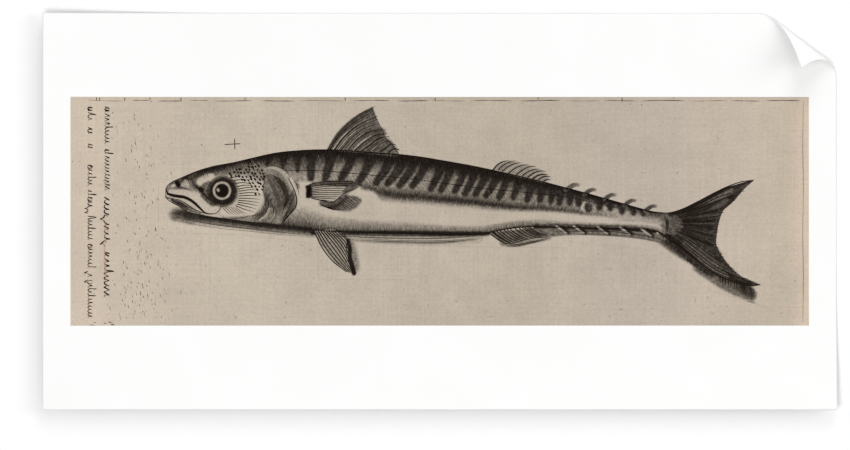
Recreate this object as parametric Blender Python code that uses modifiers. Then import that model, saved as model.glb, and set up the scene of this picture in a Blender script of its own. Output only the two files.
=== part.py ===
"""A loose art print: one sheet of heavy cotton paper that lies on its back, with its picture side up.

Metres, +Z up. The origin is at the middle of the sheet, on the surface that it lies on. +X runs along
the long edges to the right of the picture, and +Y runs to the picture's top.
"""

import bmesh
import bpy
from mathutils import Vector

# The sheet
SHEET_LENGTH = 0.600
SHEET_WIDTH = 0.300
SHEET_THICKNESS = 0.0005

# The top right corner curls up and over the picture side. The curl starts along a straight fold line
# that meets the top edge and the right edge at these distances from the corner.
CURL_ALONG_TOP = 0.060
CURL_ALONG_RIGHT = 0.050
CURL_TIP = Vector((-0.0288, -0.0426, 0.0270))  # where the corner ends up, from where it was
CURL_STRIPS = 20

# The left and bottom edges stay a little proud of the table, as on paper that was kept in a tube.
EDGE_LIFT = 0.008
LEFT_LIFT_REACH = 0.150
BOTTOM_LIFT_REACH = 0.110
LIFT_STRIPS = 10

PAPER_COLOUR = (0.92, 0.92, 0.91, 1.0)
PAPER_ROUGHNESS = 0.85

RIGHT = SHEET_LENGTH / 2
TOP = SHEET_WIDTH / 2
LEFT = -RIGHT
BOTTOM = -TOP
CORNER = Vector((RIGHT, TOP, 0.0))

# Bezier control points of the two curled edges, from the sheet's corner: each leaves its straight
# edge in line with it and ends at the tip.
TOP_EDGE_CURVE = [
    Vector((-CURL_ALONG_TOP, 0.0, 0.0)),
    Vector((-0.0420, 0.0, 0.0)),
    Vector((-0.0323, -0.0251, 0.0076)),
    CURL_TIP,
]
RIGHT_EDGE_CURVE = [
    Vector((0.0, -CURL_ALONG_RIGHT, 0.0)),
    Vector((0.0, -0.0353, 0.0)),
    Vector((-0.0119, -0.0296, 0.0076)),
    CURL_TIP,
]


def clear_scene():
    for item in list(bpy.data.objects):
        bpy.data.objects.remove(item, do_unlink=True)


def bezier_point(controls, t):
    start, first, second, end = controls
    s = 1.0 - t
    return s**3 * start + 3.0 * s**2 * t * first + 3.0 * s * t**2 * second + t**3 * end


def curled(point):
    """Place a flat point of the corner on the curl.

    turn is 0 on the fold line and 1 at the corner, along is 0 on the top edge and 1 on the right
    edge, and the curled surface is ruled straight from one curled edge to the other.
    """
    from_top = (RIGHT - point.x) / CURL_ALONG_TOP
    from_right = (TOP - point.y) / CURL_ALONG_RIGHT
    spread = from_top + from_right
    if spread >= 1.0:
        return point
    turn = 1.0 - spread
    along = from_right / spread if spread > 0.0 else 0.0
    on_top_edge = bezier_point(TOP_EDGE_CURVE, turn)
    on_right_edge = bezier_point(RIGHT_EDGE_CURVE, turn)
    return CORNER + on_top_edge.lerp(on_right_edge, along)


def lifted(point):
    """Raise a flat point near the left or the bottom edge along a shallow parabola."""
    left = max(0.0, (LEFT + LEFT_LIFT_REACH - point.x) / LEFT_LIFT_REACH) ** 2
    bottom = max(0.0, (BOTTOM + BOTTOM_LIFT_REACH - point.y) / BOTTOM_LIFT_REACH) ** 2
    return point + Vector((0.0, 0.0, EDGE_LIFT * (left + bottom - left * bottom)))


def cut(mesh, position, direction):
    everything = mesh.verts[:] + mesh.edges[:] + mesh.faces[:]
    bmesh.ops.bisect_plane(mesh, geom=everything, plane_co=position, plane_no=direction)


def cut_into_strips(mesh):
    """Cut the flat rectangle along the lines that it bends across."""
    for step in range(1, LIFT_STRIPS + 1):
        share = step / LIFT_STRIPS
        cut(mesh, Vector((LEFT + share * LEFT_LIFT_REACH, 0.0, 0.0)), Vector((1.0, 0.0, 0.0)))
        cut(mesh, Vector((0.0, BOTTOM + share * BOTTOM_LIFT_REACH, 0.0)), Vector((0.0, 1.0, 0.0)))
    across_fold = Vector((1.0 / CURL_ALONG_TOP, 1.0 / CURL_ALONG_RIGHT, 0.0))
    for step in range(CURL_STRIPS):
        share = 1.0 - step / CURL_STRIPS
        cut(mesh, CORNER - Vector((share * CURL_ALONG_TOP, 0.0, 0.0)), across_fold)


def paper_material():
    material = bpy.data.materials.new("cotton_paper")
    material.use_nodes = True
    shader = material.node_tree.nodes["Principled BSDF"]
    shader.inputs["Base Color"].default_value = PAPER_COLOUR
    shader.inputs["Roughness"].default_value = PAPER_ROUGHNESS
    shader.inputs["Metallic"].default_value = 0.0
    return material


def make_paper_sheet(collection):
    mesh = bmesh.new()
    bmesh.ops.create_grid(mesh, x_segments=1, y_segments=1, size=0.5)
    bmesh.ops.scale(mesh, verts=mesh.verts, vec=Vector((SHEET_LENGTH, SHEET_WIDTH, 1.0)))
    cut_into_strips(mesh)
    for vertex in mesh.verts:
        vertex.co = lifted(curled(vertex.co.copy()))
    bmesh.ops.triangulate(mesh, faces=mesh.faces)

    data = bpy.data.meshes.new("paper_sheet")
    mesh.to_mesh(data)
    mesh.free()
    data.materials.append(paper_material())
    sheet = bpy.data.objects.new("paper_sheet", data)
    collection.objects.link(sheet)

    # The cut mesh is the sheet's back, and the paper's thickness goes up from it.
    thickness = sheet.modifiers.new("thickness", "SOLIDIFY")
    thickness.thickness = SHEET_THICKNESS
    thickness.offset = 1.0
    thickness.use_even_offset = True
    return sheet


def main():
    clear_scene()
    collection = bpy.data.collections.new("art_print")
    bpy.context.scene.collection.children.link(collection)
    make_paper_sheet(collection)


main()
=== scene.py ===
import math

import bpy
import numpy as np
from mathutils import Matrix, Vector


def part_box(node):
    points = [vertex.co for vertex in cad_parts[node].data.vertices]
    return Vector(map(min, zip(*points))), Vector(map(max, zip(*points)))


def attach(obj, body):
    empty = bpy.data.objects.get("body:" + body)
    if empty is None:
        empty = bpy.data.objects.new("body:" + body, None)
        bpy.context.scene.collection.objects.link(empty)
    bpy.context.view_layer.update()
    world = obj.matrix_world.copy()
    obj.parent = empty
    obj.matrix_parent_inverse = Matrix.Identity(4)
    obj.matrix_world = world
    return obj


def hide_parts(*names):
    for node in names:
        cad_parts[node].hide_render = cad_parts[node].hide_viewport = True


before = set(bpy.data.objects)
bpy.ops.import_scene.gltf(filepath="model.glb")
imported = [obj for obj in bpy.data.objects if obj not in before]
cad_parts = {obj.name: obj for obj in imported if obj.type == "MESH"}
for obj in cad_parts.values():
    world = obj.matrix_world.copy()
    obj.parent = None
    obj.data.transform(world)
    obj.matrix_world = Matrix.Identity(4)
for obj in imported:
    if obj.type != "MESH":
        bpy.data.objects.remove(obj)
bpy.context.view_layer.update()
sheetLow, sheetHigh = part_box("paper_sheet")
# The drawing is laid out in millimetres from the middle of the sheet, and the meshes are in metres.
metre = 0.001
print("frame loaded:", sorted(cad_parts))


def linearColour(hexColour):
    # An sRGB hex colour as linear light: value / 12.92 when dark, else ((value + 0.055) / 1.055) ** 2.4.
    parts = [int(hexColour[at:at + 2], 16) / 255.0 for at in (1, 3, 5)]
    return tuple(v / 12.92 if v <= 0.04045 else ((v + 0.055) / 1.055) ** 2.4 for v in parts) + (1.0,)


def addNode(material, kind, values=None, links=None, **settings):
    # Adds one shader node: its settings, the values of its sockets, and the sockets that feed it.
    node = material.node_tree.nodes.new(kind)
    for name, value in settings.items():
        setattr(node, name, value)
    for socket, value in (values or {}).items():
        node.inputs[socket].default_value = value
    for socket, source in (links or {}).items():
        material.node_tree.links.new(source, node.inputs[socket])
    return node


def newMaterial(name, roughness, specular):
    # A principled material with its roughness and specular level set on the sockets.
    material = bpy.data.materials.new(name)
    material.use_nodes = True
    shader = material.node_tree.nodes["Principled BSDF"]
    shader.inputs["Roughness"].default_value = roughness
    shader.inputs["Specular IOR Level"].default_value = specular
    return material, shader


def joinSockets(material, source, target):
    # Links one output to one input.
    material.node_tree.links.new(source, target)


# Cotton rag paper, mould made: dead matt and a clean white, with the soft tooth that the felts leave.
# The edge colour is a greyer white laid on the band along the cut edge and on the rim: painted shade for
# the edge's rounding.
paper = {"hex": "#e7e7e7", "cloudHex": "#e4e4e3", "edgeShadeHex": "#d6d6d6", "roughness": 0.92,
         "toothSize": 0.9, "toothDepth": 0.03}   # mm; real felt tooth is about half as coarse


def makeCottonPaper(name, hexColour):
    # The paper's colour drifts to its cloud colour with a broad noise, 40 mm from crest to crest.
    material, shader = newMaterial(name, paper["roughness"], 0.15)
    place = addNode(material, "ShaderNodeTexCoord")
    cloud = addNode(material, "ShaderNodeTexNoise", {"Scale": 25.0, "Detail": 2.0},
        {"Vector": place.outputs["Object"]})
    tint = addNode(material, "ShaderNodeMixRGB", {"Color1": linearColour(hexColour),
        "Color2": linearColour(paper["cloudHex"])}, {"Fac": cloud.outputs["Fac"]})
    joinSockets(material, tint.outputs["Color"], shader.inputs["Base Color"])
    addTooth(material, shader, place)
    return material


def addTooth(material, shader, place):
    # The felt's tooth as bump: fine noise, one bump for each tooth size.
    tooth = addNode(material, "ShaderNodeTexNoise",
        {"Scale": 1.0 / (paper["toothSize"] * metre), "Detail": 3.0}, {"Vector": place.outputs["Object"]})
    bump = addNode(material, "ShaderNodeBump", {"Strength": 0.35, "Distance": paper["toothDepth"] * metre},
        {"Height": tooth.outputs["Fac"]})
    joinSockets(material, bump.outputs["Normal"], shader.inputs["Normal"])


# The picture's ground is an aged laid paper, printed in flat warm greys: pinker at the left where the
# plate was handled, greyest in the middle and yellower at the right. Chain lines and fibres show faintly.
ground = {
    "bands": [(-0.279, "#bbad9d"), (-0.262, "#baac9c"), (-0.245, "#b5a999"), (-0.205, "#b4a899"),
        (-0.12, "#b2a798"), (-0.02, "#aca193"), (0.06, "#aa9f90"), (0.15, "#aba094"),
        (0.215, "#b0a496"), (0.262, "#b0a494"), (0.2791, "#c1b09e")],   # x in m, colour
    "roughness": 0.9,
    "laidStep": 1.5,        # mm between laid lines, half as wide again as real ones so that they show
    "laidDepth": 0.022, "mottle": 0.05, "speck": 0.12,
}
# Iron gall and lamp black ink: a warm near-black that sits matt in the fibres.
inkLook = {"hex": "#120c08", "paleHex": "#1f1711", "chalkHex": "#b48c74", "chalkPaleHex": "#b3a08d",
    "roughness": 0.85}


def makePlatePrint(name, inked):
    # Colour bands along x, multiplied by layers of noise, and with ink over them where inkCover says.
    material, shader = newMaterial(name, ground["roughness"], 0.04)
    place = addNode(material, "ShaderNodeTexCoord")
    axes = addNode(material, "ShaderNodeSeparateXYZ", links={"Vector": place.outputs["Object"]})
    low, high = ground["bands"][0][0], ground["bands"][-1][0]
    share = addNode(material, "ShaderNodeMapRange", {"From Min": low, "From Max": high},
        {"Value": axes.outputs["X"]})
    bands = addNode(material, "ShaderNodeValToRGB", links={"Fac": share.outputs["Result"]})
    ramp = bands.color_ramp
    while len(ramp.elements) < len(ground["bands"]):
        ramp.elements.new(0.5)
    for stop, (x, hexColour) in zip(ramp.elements, ground["bands"]):
        stop.position = (x - low) / (high - low)
        stop.color = linearColour(hexColour)
    shade = bands.outputs["Color"]
    # clouds of age, then laid lines one way and chain lines the other, then fibres and foxing specks
    fine = 1.0 / (ground["laidStep"] * metre)
    layers = [((14.0, 14.0, 14.0), ground["mottle"], 2.0),
        ((60.0, 60.0, 60.0), 0.6 * ground["mottle"], 3.0),
        ((18.0, fine, 18.0), ground["laidDepth"], 1.0),
        ((fine, 14.0, 14.0), 1.2 * ground["laidDepth"], 1.0),
        ((520.0, 520.0, 520.0), 0.06, 4.0)]
    for scale, depth, detail in layers:
        spread = addNode(material, "ShaderNodeMapping", {"Scale": scale},
            {"Vector": place.outputs["Object"]})
        noise = addNode(material, "ShaderNodeTexNoise", {"Scale": 1.0, "Detail": detail},
            {"Vector": spread.outputs["Vector"]})
        light = addNode(material, "ShaderNodeMapRange",
            {"From Min": 0.3, "From Max": 0.7, "To Min": 1.0 - depth, "To Max": 1.0 + depth},
            {"Value": noise.outputs["Fac"]}, clamp=True)
        mixed = addNode(material, "ShaderNodeMixRGB", {"Fac": 1.0},
            {"Color1": shade, "Color2": light.outputs["Result"]}, blend_type="MULTIPLY")
        shade = mixed.outputs["Color"]
    speck = addNode(material, "ShaderNodeTexNoise", {"Scale": 330.0, "Detail": 2.0},
        {"Vector": place.outputs["Object"]})
    dark = addNode(material, "ShaderNodeMapRange",
        {"From Min": 0.70, "From Max": 0.78, "To Min": 1.0, "To Max": 1.0 - 4.0 * ground["speck"]},
        {"Value": speck.outputs["Fac"]}, clamp=True)
    speckled = addNode(material, "ShaderNodeMixRGB", {"Fac": 1.0},
        {"Color1": shade, "Color2": dark.outputs["Result"]}, blend_type="MULTIPLY")
    shade = speckled.outputs["Color"]
    if inked:
        # The share of the paper under ink, broken up by the grain of the plate.
        cover = addNode(material, "ShaderNodeAttribute", attribute_name="inkCover")
        grain = addNode(material, "ShaderNodeTexNoise", {"Scale": 900.0, "Detail": 3.0},
            {"Vector": place.outputs["Object"]})
        bite = addNode(material, "ShaderNodeMapRange",
            {"From Min": 0.3, "From Max": 0.7, "To Min": -0.5, "To Max": 0.5},
            {"Value": grain.outputs["Fac"]})
        # Grain is strongest in the middle tones: cover + 4 * bite * cover * (1 - cover) * strength.
        bare = addNode(material, "ShaderNodeMath", {0: 1.0}, {1: cover.outputs["Fac"]},
            operation="SUBTRACT")
        middle = addNode(material, "ShaderNodeMath",
            links={0: cover.outputs["Fac"], 1: bare.outputs["Value"]}, operation="MULTIPLY")
        swing = addNode(material, "ShaderNodeMath",
            links={0: middle.outputs["Value"], 1: bite.outputs["Result"]}, operation="MULTIPLY")
        amount = addNode(material, "ShaderNodeMath", {1: 0.9},
            {0: swing.outputs["Value"], 2: cover.outputs["Fac"]}, operation="MULTIPLY_ADD")
        amount.use_clamp = True
        printed = addNode(material, "ShaderNodeMixRGB", {"Color2": linearColour(inkLook["hex"])},
            {"Fac": amount.outputs["Value"], "Color1": shade})
        shade = printed.outputs["Color"]
    joinSockets(material, shade, shader.inputs["Base Color"])
    addTooth(material, shader, place)
    return material


def makeInk(name, hexColour, paleHex):
    # Ink lies thicker and thinner: a noise about 6 mm across blends its two colours.
    material, shader = newMaterial(name, inkLook["roughness"], 0.04)
    place = addNode(material, "ShaderNodeTexCoord")
    load = addNode(material, "ShaderNodeTexNoise", {"Scale": 160.0, "Detail": 2.0},
        {"Vector": place.outputs["Object"]})
    body = addNode(material, "ShaderNodeMixRGB", {"Color1": linearColour(hexColour),
        "Color2": linearColour(paleHex)}, {"Fac": load.outputs["Fac"]})
    joinSockets(material, body.outputs["Color"], shader.inputs["Base Color"])
    return material


cottonPaper = makeCottonPaper("mould made cotton rag paper", paper["hex"])
# The edge paper is the same paper in the greyer edge colour: painted shade along the cut edge and on the
# rim.
paintedEdgeShade = makeCottonPaper("cotton rag paper with painted edge shade", paper["edgeShadeHex"])
agedPlatePrint = makePlatePrint("aged laid ground printed on cotton paper", inked=False)
inkedPlatePrint = makePlatePrint("aged laid ground with plate tone", inked=True)
ironGallInk = makeInk("iron gall printing ink", inkLook["hex"], inkLook["paleHex"])
redChalk = makeInk("red chalk rubbed into paper", inkLook["chalkHex"], inkLook["chalkPaleHex"])
print("materials made")


# The print's paper: a loose sheet on its back, its top right corner curled over the picture side.
sheet = {
    "thickness": 0.0005,             # m, a heavy cotton paper
    "curlAlongTop": 0.060,           # m from the corner to where the curl leaves the top edge
    "curlAlongRight": 0.050,         # m from the corner to where it leaves the right edge
    "topEdgeCurve": [(-0.060, 0.0, 0.0), (-0.0420, 0.0, 0.0), (-0.0323, -0.0251, 0.0076),
                     (-0.0288, -0.0426, 0.0270)],
    "rightEdgeCurve": [(0.0, -0.050, 0.0), (0.0, -0.0353, 0.0), (-0.0119, -0.0296, 0.0076),
                       (-0.0288, -0.0426, 0.0270)],
    "edgeLift": 0.008,               # m that the left and bottom edges stand off the table
    "leftReach": 0.150, "bottomReach": 0.110,
    "pictureX": 0.2791, "pictureY": 0.0865,   # m, half the printed area
    "shadedEdgeBand": 0.0007,               # m, the band along the cut edge that is painted greyer: painted shade for the edge's rounding
    "gridStep": 0.0040, "curlStep": 0.0013,
}


def liftOf(x, y):
    # How far the lying sheet stands off the table: a shallow parabola towards the left edge and another
    # towards the bottom edge, joined so that they never add up to more than one lift.
    left = np.maximum(0.0, (sheetLow.x + sheet["leftReach"] - x) / sheet["leftReach"]) ** 2
    bottom = np.maximum(0.0, (sheetLow.y + sheet["bottomReach"] - y) / sheet["bottomReach"]) ** 2
    return sheet["edgeLift"] * (left + bottom - left * bottom)


def cubicBezier(controls, t):
    # A cubic Bezier curve: four points weighted by the terms of (1 - t + t) cubed.
    a, b, c, d = (np.array(point)[:, None, None] for point in controls)
    s = 1.0 - t
    return s**3 * a + 3.0 * s**2 * t * b + 3.0 * s * t**2 * c + t**3 * d


def paperBack(x, y):
    # The sheet's lower face as a function of the flat sheet's x and y. In the corner each straight line
    # from one curled edge to the other is at an equal share of both edges' Bezier curves.
    fromTop = (sheetHigh.x - x) / sheet["curlAlongTop"]
    fromRight = (sheetHigh.y - y) / sheet["curlAlongRight"]
    spread = fromTop + fromRight
    turn = np.clip(1.0 - spread, 0.0, 1.0)
    along = fromRight / np.maximum(spread, 1e-6)
    onTop, onRight = cubicBezier(sheet["topEdgeCurve"], turn), cubicBezier(sheet["rightEdgeCurve"], turn)
    corner = np.array([sheetHigh.x, sheetHigh.y, 0.0])[:, None, None]
    curled = corner + onTop + (onRight - onTop) * along
    lying = np.stack([x, y, liftOf(x, y)])
    return np.moveaxis(np.where(spread < 1.0, curled, lying), 0, -1)


def unitNormals(points):
    # The cross product of the surface's two grid directions, made one long.
    along, across = np.gradient(points, axis=1), np.gradient(points, axis=0)
    normal = np.cross(along, across)
    return normal / np.linalg.norm(normal, axis=-1, keepdims=True)


def gridFaces(rows, columns, start=0, turned=False):
    # Quads between neighbouring rows and columns of a grid of vertices.
    first = start + np.arange(rows - 1)[:, None] * columns + np.arange(columns - 1)[None, :]
    quads = np.stack([first, first + 1, first + columns + 1, first + columns], axis=-1).reshape(-1, 4)
    return quads[:, ::-1] if turned else quads


def rimFaces(rows, columns, upper, lower):
    # Quads that join the borders of two equal grids, all the way round.
    top = np.arange(rows * columns).reshape(rows, columns)
    loop = np.concatenate([top[0, :-1], top[:-1, -1], top[-1, :0:-1], top[:0:-1, 0]])
    after = np.roll(loop, -1)
    return np.stack([loop + lower, after + lower, after + upper, loop + upper], axis=-1)


def addMesh(name, vertices, faces, material, flatFaces=0):
    # Puts whole arrays of vertices and faces into a mesh, and hangs the piece on the frame. The last
    # faces, such as a rim's, may be flat, so that they don't shade the smooth ones beside them.
    mesh = bpy.data.meshes.new(name)
    mesh.vertices.add(len(vertices))
    mesh.vertices.foreach_set("co", np.asarray(vertices, np.float32).ravel())
    corners = faces.shape[1]
    mesh.loops.add(faces.size)
    mesh.loops.foreach_set("vertex_index", faces.astype(np.int32).ravel())
    mesh.polygons.add(len(faces))
    mesh.polygons.foreach_set("loop_start", np.arange(0, faces.size, corners, dtype=np.int32))
    mesh.polygons.foreach_set("use_smooth", np.arange(len(faces)) < len(faces) - flatFaces)
    mesh.update(calc_edges=True)
    mesh.materials.append(material)
    piece = bpy.data.objects.new(name, mesh)
    bpy.context.scene.collection.objects.link(piece)
    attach(piece, "root")
    return piece


def gridLines(low, high, step, fixed, dense=None):
    # Even grid lines that also pass exactly through the fixed places, closer together where dense says.
    stops = sorted([low, high] + list(fixed))
    lines = []
    for start, end in zip(stops[:-1], stops[1:]):
        spacing = dense[1] if dense and start >= dense[0] - 1e-9 else step
        count = max(1, round((end - start) / spacing))
        lines.extend(np.linspace(start, end, count + 1)[:-1])
    return np.array(lines + [high])


def printedSheet():
    # Two equal grids, the back and the front, one thickness apart along the normals, with a rim.
    edge, step = sheet["shadedEdgeBand"], sheet["gridStep"]
    px, py = sheet["pictureX"], sheet["pictureY"]
    curlX, curlY = sheetHigh.x - sheet["curlAlongTop"], sheetHigh.y - sheet["curlAlongRight"]
    x = gridLines(sheetLow.x, sheetHigh.x, step, [sheetLow.x + edge, -px, curlX, px, sheetHigh.x - edge],
        (curlX, sheet["curlStep"]))
    y = gridLines(sheetLow.y, sheetHigh.y, step, [sheetLow.y + edge, -py, py, curlY, sheetHigh.y - edge],
        (curlY, sheet["curlStep"]))
    gridX, gridY = np.meshgrid(x, y)
    rows, columns = gridX.shape
    lower = paperBack(gridX, gridY)
    upper = lower + unitNormals(lower) * sheet["thickness"]
    vertices = np.concatenate([upper.reshape(-1, 3), lower.reshape(-1, 3)])
    count = rows * columns
    front, back = gridFaces(rows, columns), gridFaces(rows, columns, count, turned=True)
    rim = rimFaces(rows, columns, 0, count)
    faces = np.concatenate([front, back, rim])
    piece = addMesh("printed_sheet", vertices, faces, cottonPaper, len(rim))
    mesh = piece.data
    mesh.materials.append(agedPlatePrint)
    mesh.materials.append(paintedEdgeShade)
    # Each front face gets its finish from where its middle is on the flat sheet.
    middleX, middleY = 0.5 * (x[1:] + x[:-1])[None, :], 0.5 * (y[1:] + y[:-1])[:, None]
    printed = (np.abs(middleX) < px) & (np.abs(middleY) < py)
    # The band along the cut edge and the rim take the greyer paper, a painted shade for the edge's
    # rounding.
    edgeShaded = (np.abs(middleX) > sheetHigh.x - edge) | (np.abs(middleY) > sheetHigh.y - edge)
    finish = np.where(printed, 1, np.where(edgeShaded, 2, 0)).ravel()
    mesh.polygons.foreach_set("material_index", np.concatenate([finish, np.zeros(len(back), int),
        np.full(len(rim), 2)]).astype(np.int32))
    # The flat sheet's own map: the front fills the upper half, the back the lower half, and the thin rim
    # samples the border of the front.
    across = (gridX - sheetLow.x) / (sheetHigh.x - sheetLow.x)
    up = (gridY - sheetLow.y) / (sheetHigh.y - sheetLow.y)
    flat = np.stack([across, up], axis=-1).reshape(-1, 2)
    onFront = flat * [0.98, 0.48] + [0.01, 0.51]
    onBack = flat * [0.98, 0.48] + [0.01, 0.01]
    uv = np.concatenate([onFront[front.ravel()], onBack[back.ravel() - count],
        onFront[rim.ravel() % count]])
    mesh.uv_layers.new(name="OFBake").data.foreach_set("uv", uv.astype(np.float32).ravel())
    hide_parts("paper_sheet")
    return piece


printSheet = printedSheet()
print("printed sheet made:", len(printSheet.data.polygons), "faces")


def smoothLine(points, count=32):
    # A Catmull-Rom curve: between two points it is the cubic Hermite blend of the points and of their
    # tangents, and it is read at even steps of the chord length.
    knots = np.asarray(points, float)
    knots = knots[np.r_[True, np.hypot(*np.diff(knots, axis=0).T) > 1e-3]]
    chord = np.r_[0.0, np.cumsum(np.hypot(*np.diff(knots, axis=0).T))]
    tangents = np.gradient(knots, chord, axis=0)
    at = np.linspace(0.0, chord[-1], count)
    span = np.clip(np.searchsorted(chord, at, side="right") - 1, 0, len(chord) - 2)
    length = (chord[span + 1] - chord[span])[:, None]
    t = (at - chord[span])[:, None] / length
    start, end = knots[span], knots[span + 1]
    leave, arrive = tangents[span] * length, tangents[span + 1] * length
    fromStart = start * (2 * t**3 - 3 * t**2 + 1) + leave * (t**3 - 2 * t**2 + t)
    return fromStart + end * (3 * t**2 - 2 * t**3) + arrive * (t**3 - t**2)


def smoothStep(value):
    # An S-shaped step from 0 to 1: the value squared, times 3 less twice the value.
    value = np.clip(value, 0.0, 1.0)
    return value * value * (3.0 - 2.0 * value)


def heightOf(line, x):
    # The height of a left-to-right line at each x.
    return np.interp(x, line[:, 0], line[:, 1])


# The fish's outlines, in millimetres from the middle of the sheet, each from the head to the tail.
back = smoothLine([(-207.3, 16.6), (-206.1, 19.3), (-202.6, 22), (-196.1, 25), (-185.2, 29.7),
    (-172.2, 33.7), (-155.8, 36.8), (-141.4, 40.2), (-123.1, 44.1), (-105.9, 45.8), (-83.2, 46.4),
    (-68.1, 45.7), (-50.9, 44.4), (-31.7, 43), (-14.3, 40.9), (4.2, 37.8), (23.9, 34.3), (39.4, 31.1),
    (56.8, 27.3), (74.2, 23.2), (93.3, 18.2), (110.7, 13.6), (129.8, 8.2), (151.4, 2.1), (160.2, -0.2),
    (169.5, -1.4)], 160)
belly = smoothLine([(-207.6, 10.8), (-204.7, 7.9), (-200.4, 5.4), (-195.9, 3), (-192.5, 0.5),
    (-188.7, -1.1), (-182.6, -2.4), (-176.2, -3.7), (-165.7, -5.3), (-155.8, -6.6), (-140.7, -8.5),
    (-120.3, -10.7), (-105.9, -12.6), (-89.2, -14.6), (-74.1, -15.5), (-50.9, -16.3), (-14.3, -17),
    (15.2, -17.6), (32.6, -17), (43.2, -14.8), (54.5, -12.9), (71.6, -11.5), (89, -12), (110.5, -12.5),
    (136.2, -12.9), (155.9, -13.7), (164.2, -15.1), (169.5, -17.6)], 160)
tailTop = smoothLine([(169.5, -1.4), (174.8, -1), (181.9, 1.1), (194.9, 7.2), (208, 14.1), (221, 20),
    (229.7, 22.6), (237.2, 23.5)], 48)
tailBottom = smoothLine([(164.2, -15.2), (167.2, -17.2), (173.3, -21.6), (186.2, -31), (199.4, -41.2),
    (212.3, -49.4), (225.4, -54.4), (234.9, -56.5), (242.4, -55.6)], 48)
tailFork = smoothLine([(237.2, 23.5), (229.7, 16.6), (221, 6.7), (214, 0.5), (211.3, -6.6), (209.3, -16.8),
    (208.6, -24), (212.3, -32.4), (219.2, -41.8), (225.4, -47.9), (234, -52.2), (242.4, -55.6)], 64)
lateralLine = smoothLine([(-117.2, 30.9), (-105.9, 30.9), (-83.2, 30.3), (-73.8, 29.4), (-50.9, 27.3),
    (-23.4, 24.6), (4.2, 21.1), (32.6, 17.3), (58.6, 14.9), (84.6, 12.3), (106, 8.9), (121.1, 5.5),
    (151.4, -1.3)], 80)
flankLine = smoothLine([(-66.5, 20.3), (-59, 18.4), (-51.4, 17.2), (-45.4, 14.9), (-39.3, 13.7),
    (-30.2, 12.3), (-18.9, 11.6), (4.2, 9.3), (30.3, 6.7), (41.2, 5.1), (58.6, 3.3), (84.6, 1.7),
    (102, -0.2), (121.1, -2.5), (145.3, -4.8), (162.7, -6.1)], 80)

# The tone plate holds how dark the engraving reads at each point: 0 is bare paper, 1 is solid ink.
plate = {"left": -213.5, "right": 251.5, "bottom": -67.5, "top": 82.0, "step": 0.5}
plateX = np.arange(plate["left"], plate["right"], plate["step"])
plateY = np.arange(plate["bottom"], plate["top"], plate["step"])
tonePlate = np.zeros((len(plateY), len(plateX)))
pointX, pointY = np.meshgrid(plateX, plateY)


def plateWindow(points, margin):
    # The rows and columns of the plate that hold the points with a margin round them.
    low, high = points.min(axis=0) - margin, points.max(axis=0) + margin
    columns = slice(*np.searchsorted(plateX, (low[0], high[0])))
    rows = slice(*np.searchsorted(plateY, (low[1], high[1])))
    return rows, columns


def distanceToLine(line, x, y):
    # The distance to the nearest of the line's straight spans, and how far along the line that is.
    start, span = line[:-1], np.diff(line, axis=0)
    dx, dy = x[..., None] - start[:, 0], y[..., None] - start[:, 1]
    along = np.clip((dx * span[:, 0] + dy * span[:, 1]) / (span**2).sum(axis=1), 0.0, 1.0)
    gap = np.hypot(dx - along * span[:, 0], dy - along * span[:, 1])
    nearest = gap.argmin(axis=-1)[..., None]
    share = (nearest + np.take_along_axis(along, nearest, -1)) / len(span)
    return np.take_along_axis(gap, nearest, -1)[..., 0], share[..., 0]


def pointInside(outline, x, y):
    # A point is inside if a ray from it to the right crosses the outline an odd number of times.
    x0, y0 = outline.T
    x1, y1 = np.roll(outline, -1, axis=0).T
    flat = np.where(y0 == y1, 1e-9, y1 - y0)
    straddles = (y0 > y[..., None]) != (y1 > y[..., None])
    crossing = x[..., None] < x0 + (y[..., None] - y0) * (x1 - x0) / flat
    return (straddles & crossing).sum(axis=-1) % 2 == 1


def blendTone(window, amount, dark, mask):
    # Each layer draws the plate's tone towards its own darkness by its amount.
    if mask is not None:
        amount = amount * mask[window]
    tonePlate[window] += (dark - tonePlate[window]) * amount


def layBand(points, radius, soft, dark, strength=1.0, mask=None):
    # A band along a smooth line: full within the radius, which may vary along it, and gone at soft
    # beyond it, with an S-shaped fall between.
    path = smoothLine(points, 5 * len(points)) if len(points) > 2 else np.asarray(points, float)
    radii = np.atleast_1d(np.asarray(radius, float))
    window = plateWindow(path, radii.max() + soft)
    gap, share = distanceToLine(path, pointX[window], pointY[window])
    limit = np.interp(share, np.linspace(0.0, 1.0, len(radii)), radii)
    blendTone(window, strength * smoothStep((limit + soft - gap) / soft), dark, mask)


def areaCover(points, soft, count=None):
    # 1 inside a closed outline and 0 outside it, with an S-shaped step of the width soft across it.
    closed = smoothLine(list(points) + [points[0]], count or 8 * len(points))
    window = plateWindow(closed, soft)
    x, y = pointX[window], pointY[window]
    gap, _ = distanceToLine(closed, x, y)
    return window, smoothStep(0.5 + np.where(pointInside(closed[:-1], x, y), gap, -gap) / soft)


def layArea(points, soft, dark, strength=1.0, mask=None):
    # One even darkness inside a closed outline.
    window, cover = areaCover(points, soft)
    blendTone(window, strength * cover, dark, mask)


def maskOf(outline):
    # 1 inside the outline, with a step 0.7 mm wide at its edge.
    mask = np.zeros_like(tonePlate)
    window, cover = areaCover(outline, 0.7, 4 * len(outline))
    mask[window] = cover
    return mask


# Darkness of the tones, from 0 to 1, and how strongly rays and mottle change it.
tones = {"back": 0.86, "bar": 0.8, "nape": 0.82, "socket": 0.84, "pupil": 0.93, "tailRays": 0.075,
    "mottle": 0.07}
bodyMask = maskOf(np.r_[back[::3], belly[::-3]])
everywhere = (slice(None), slice(None))
depth = heightOf(back, pointX) - pointY     # below the back line
rise = pointY - heightOf(belly, pointX)     # above the belly line
backToLateral = heightOf(back, pointX) - heightOf(lateralLine, pointX)


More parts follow.
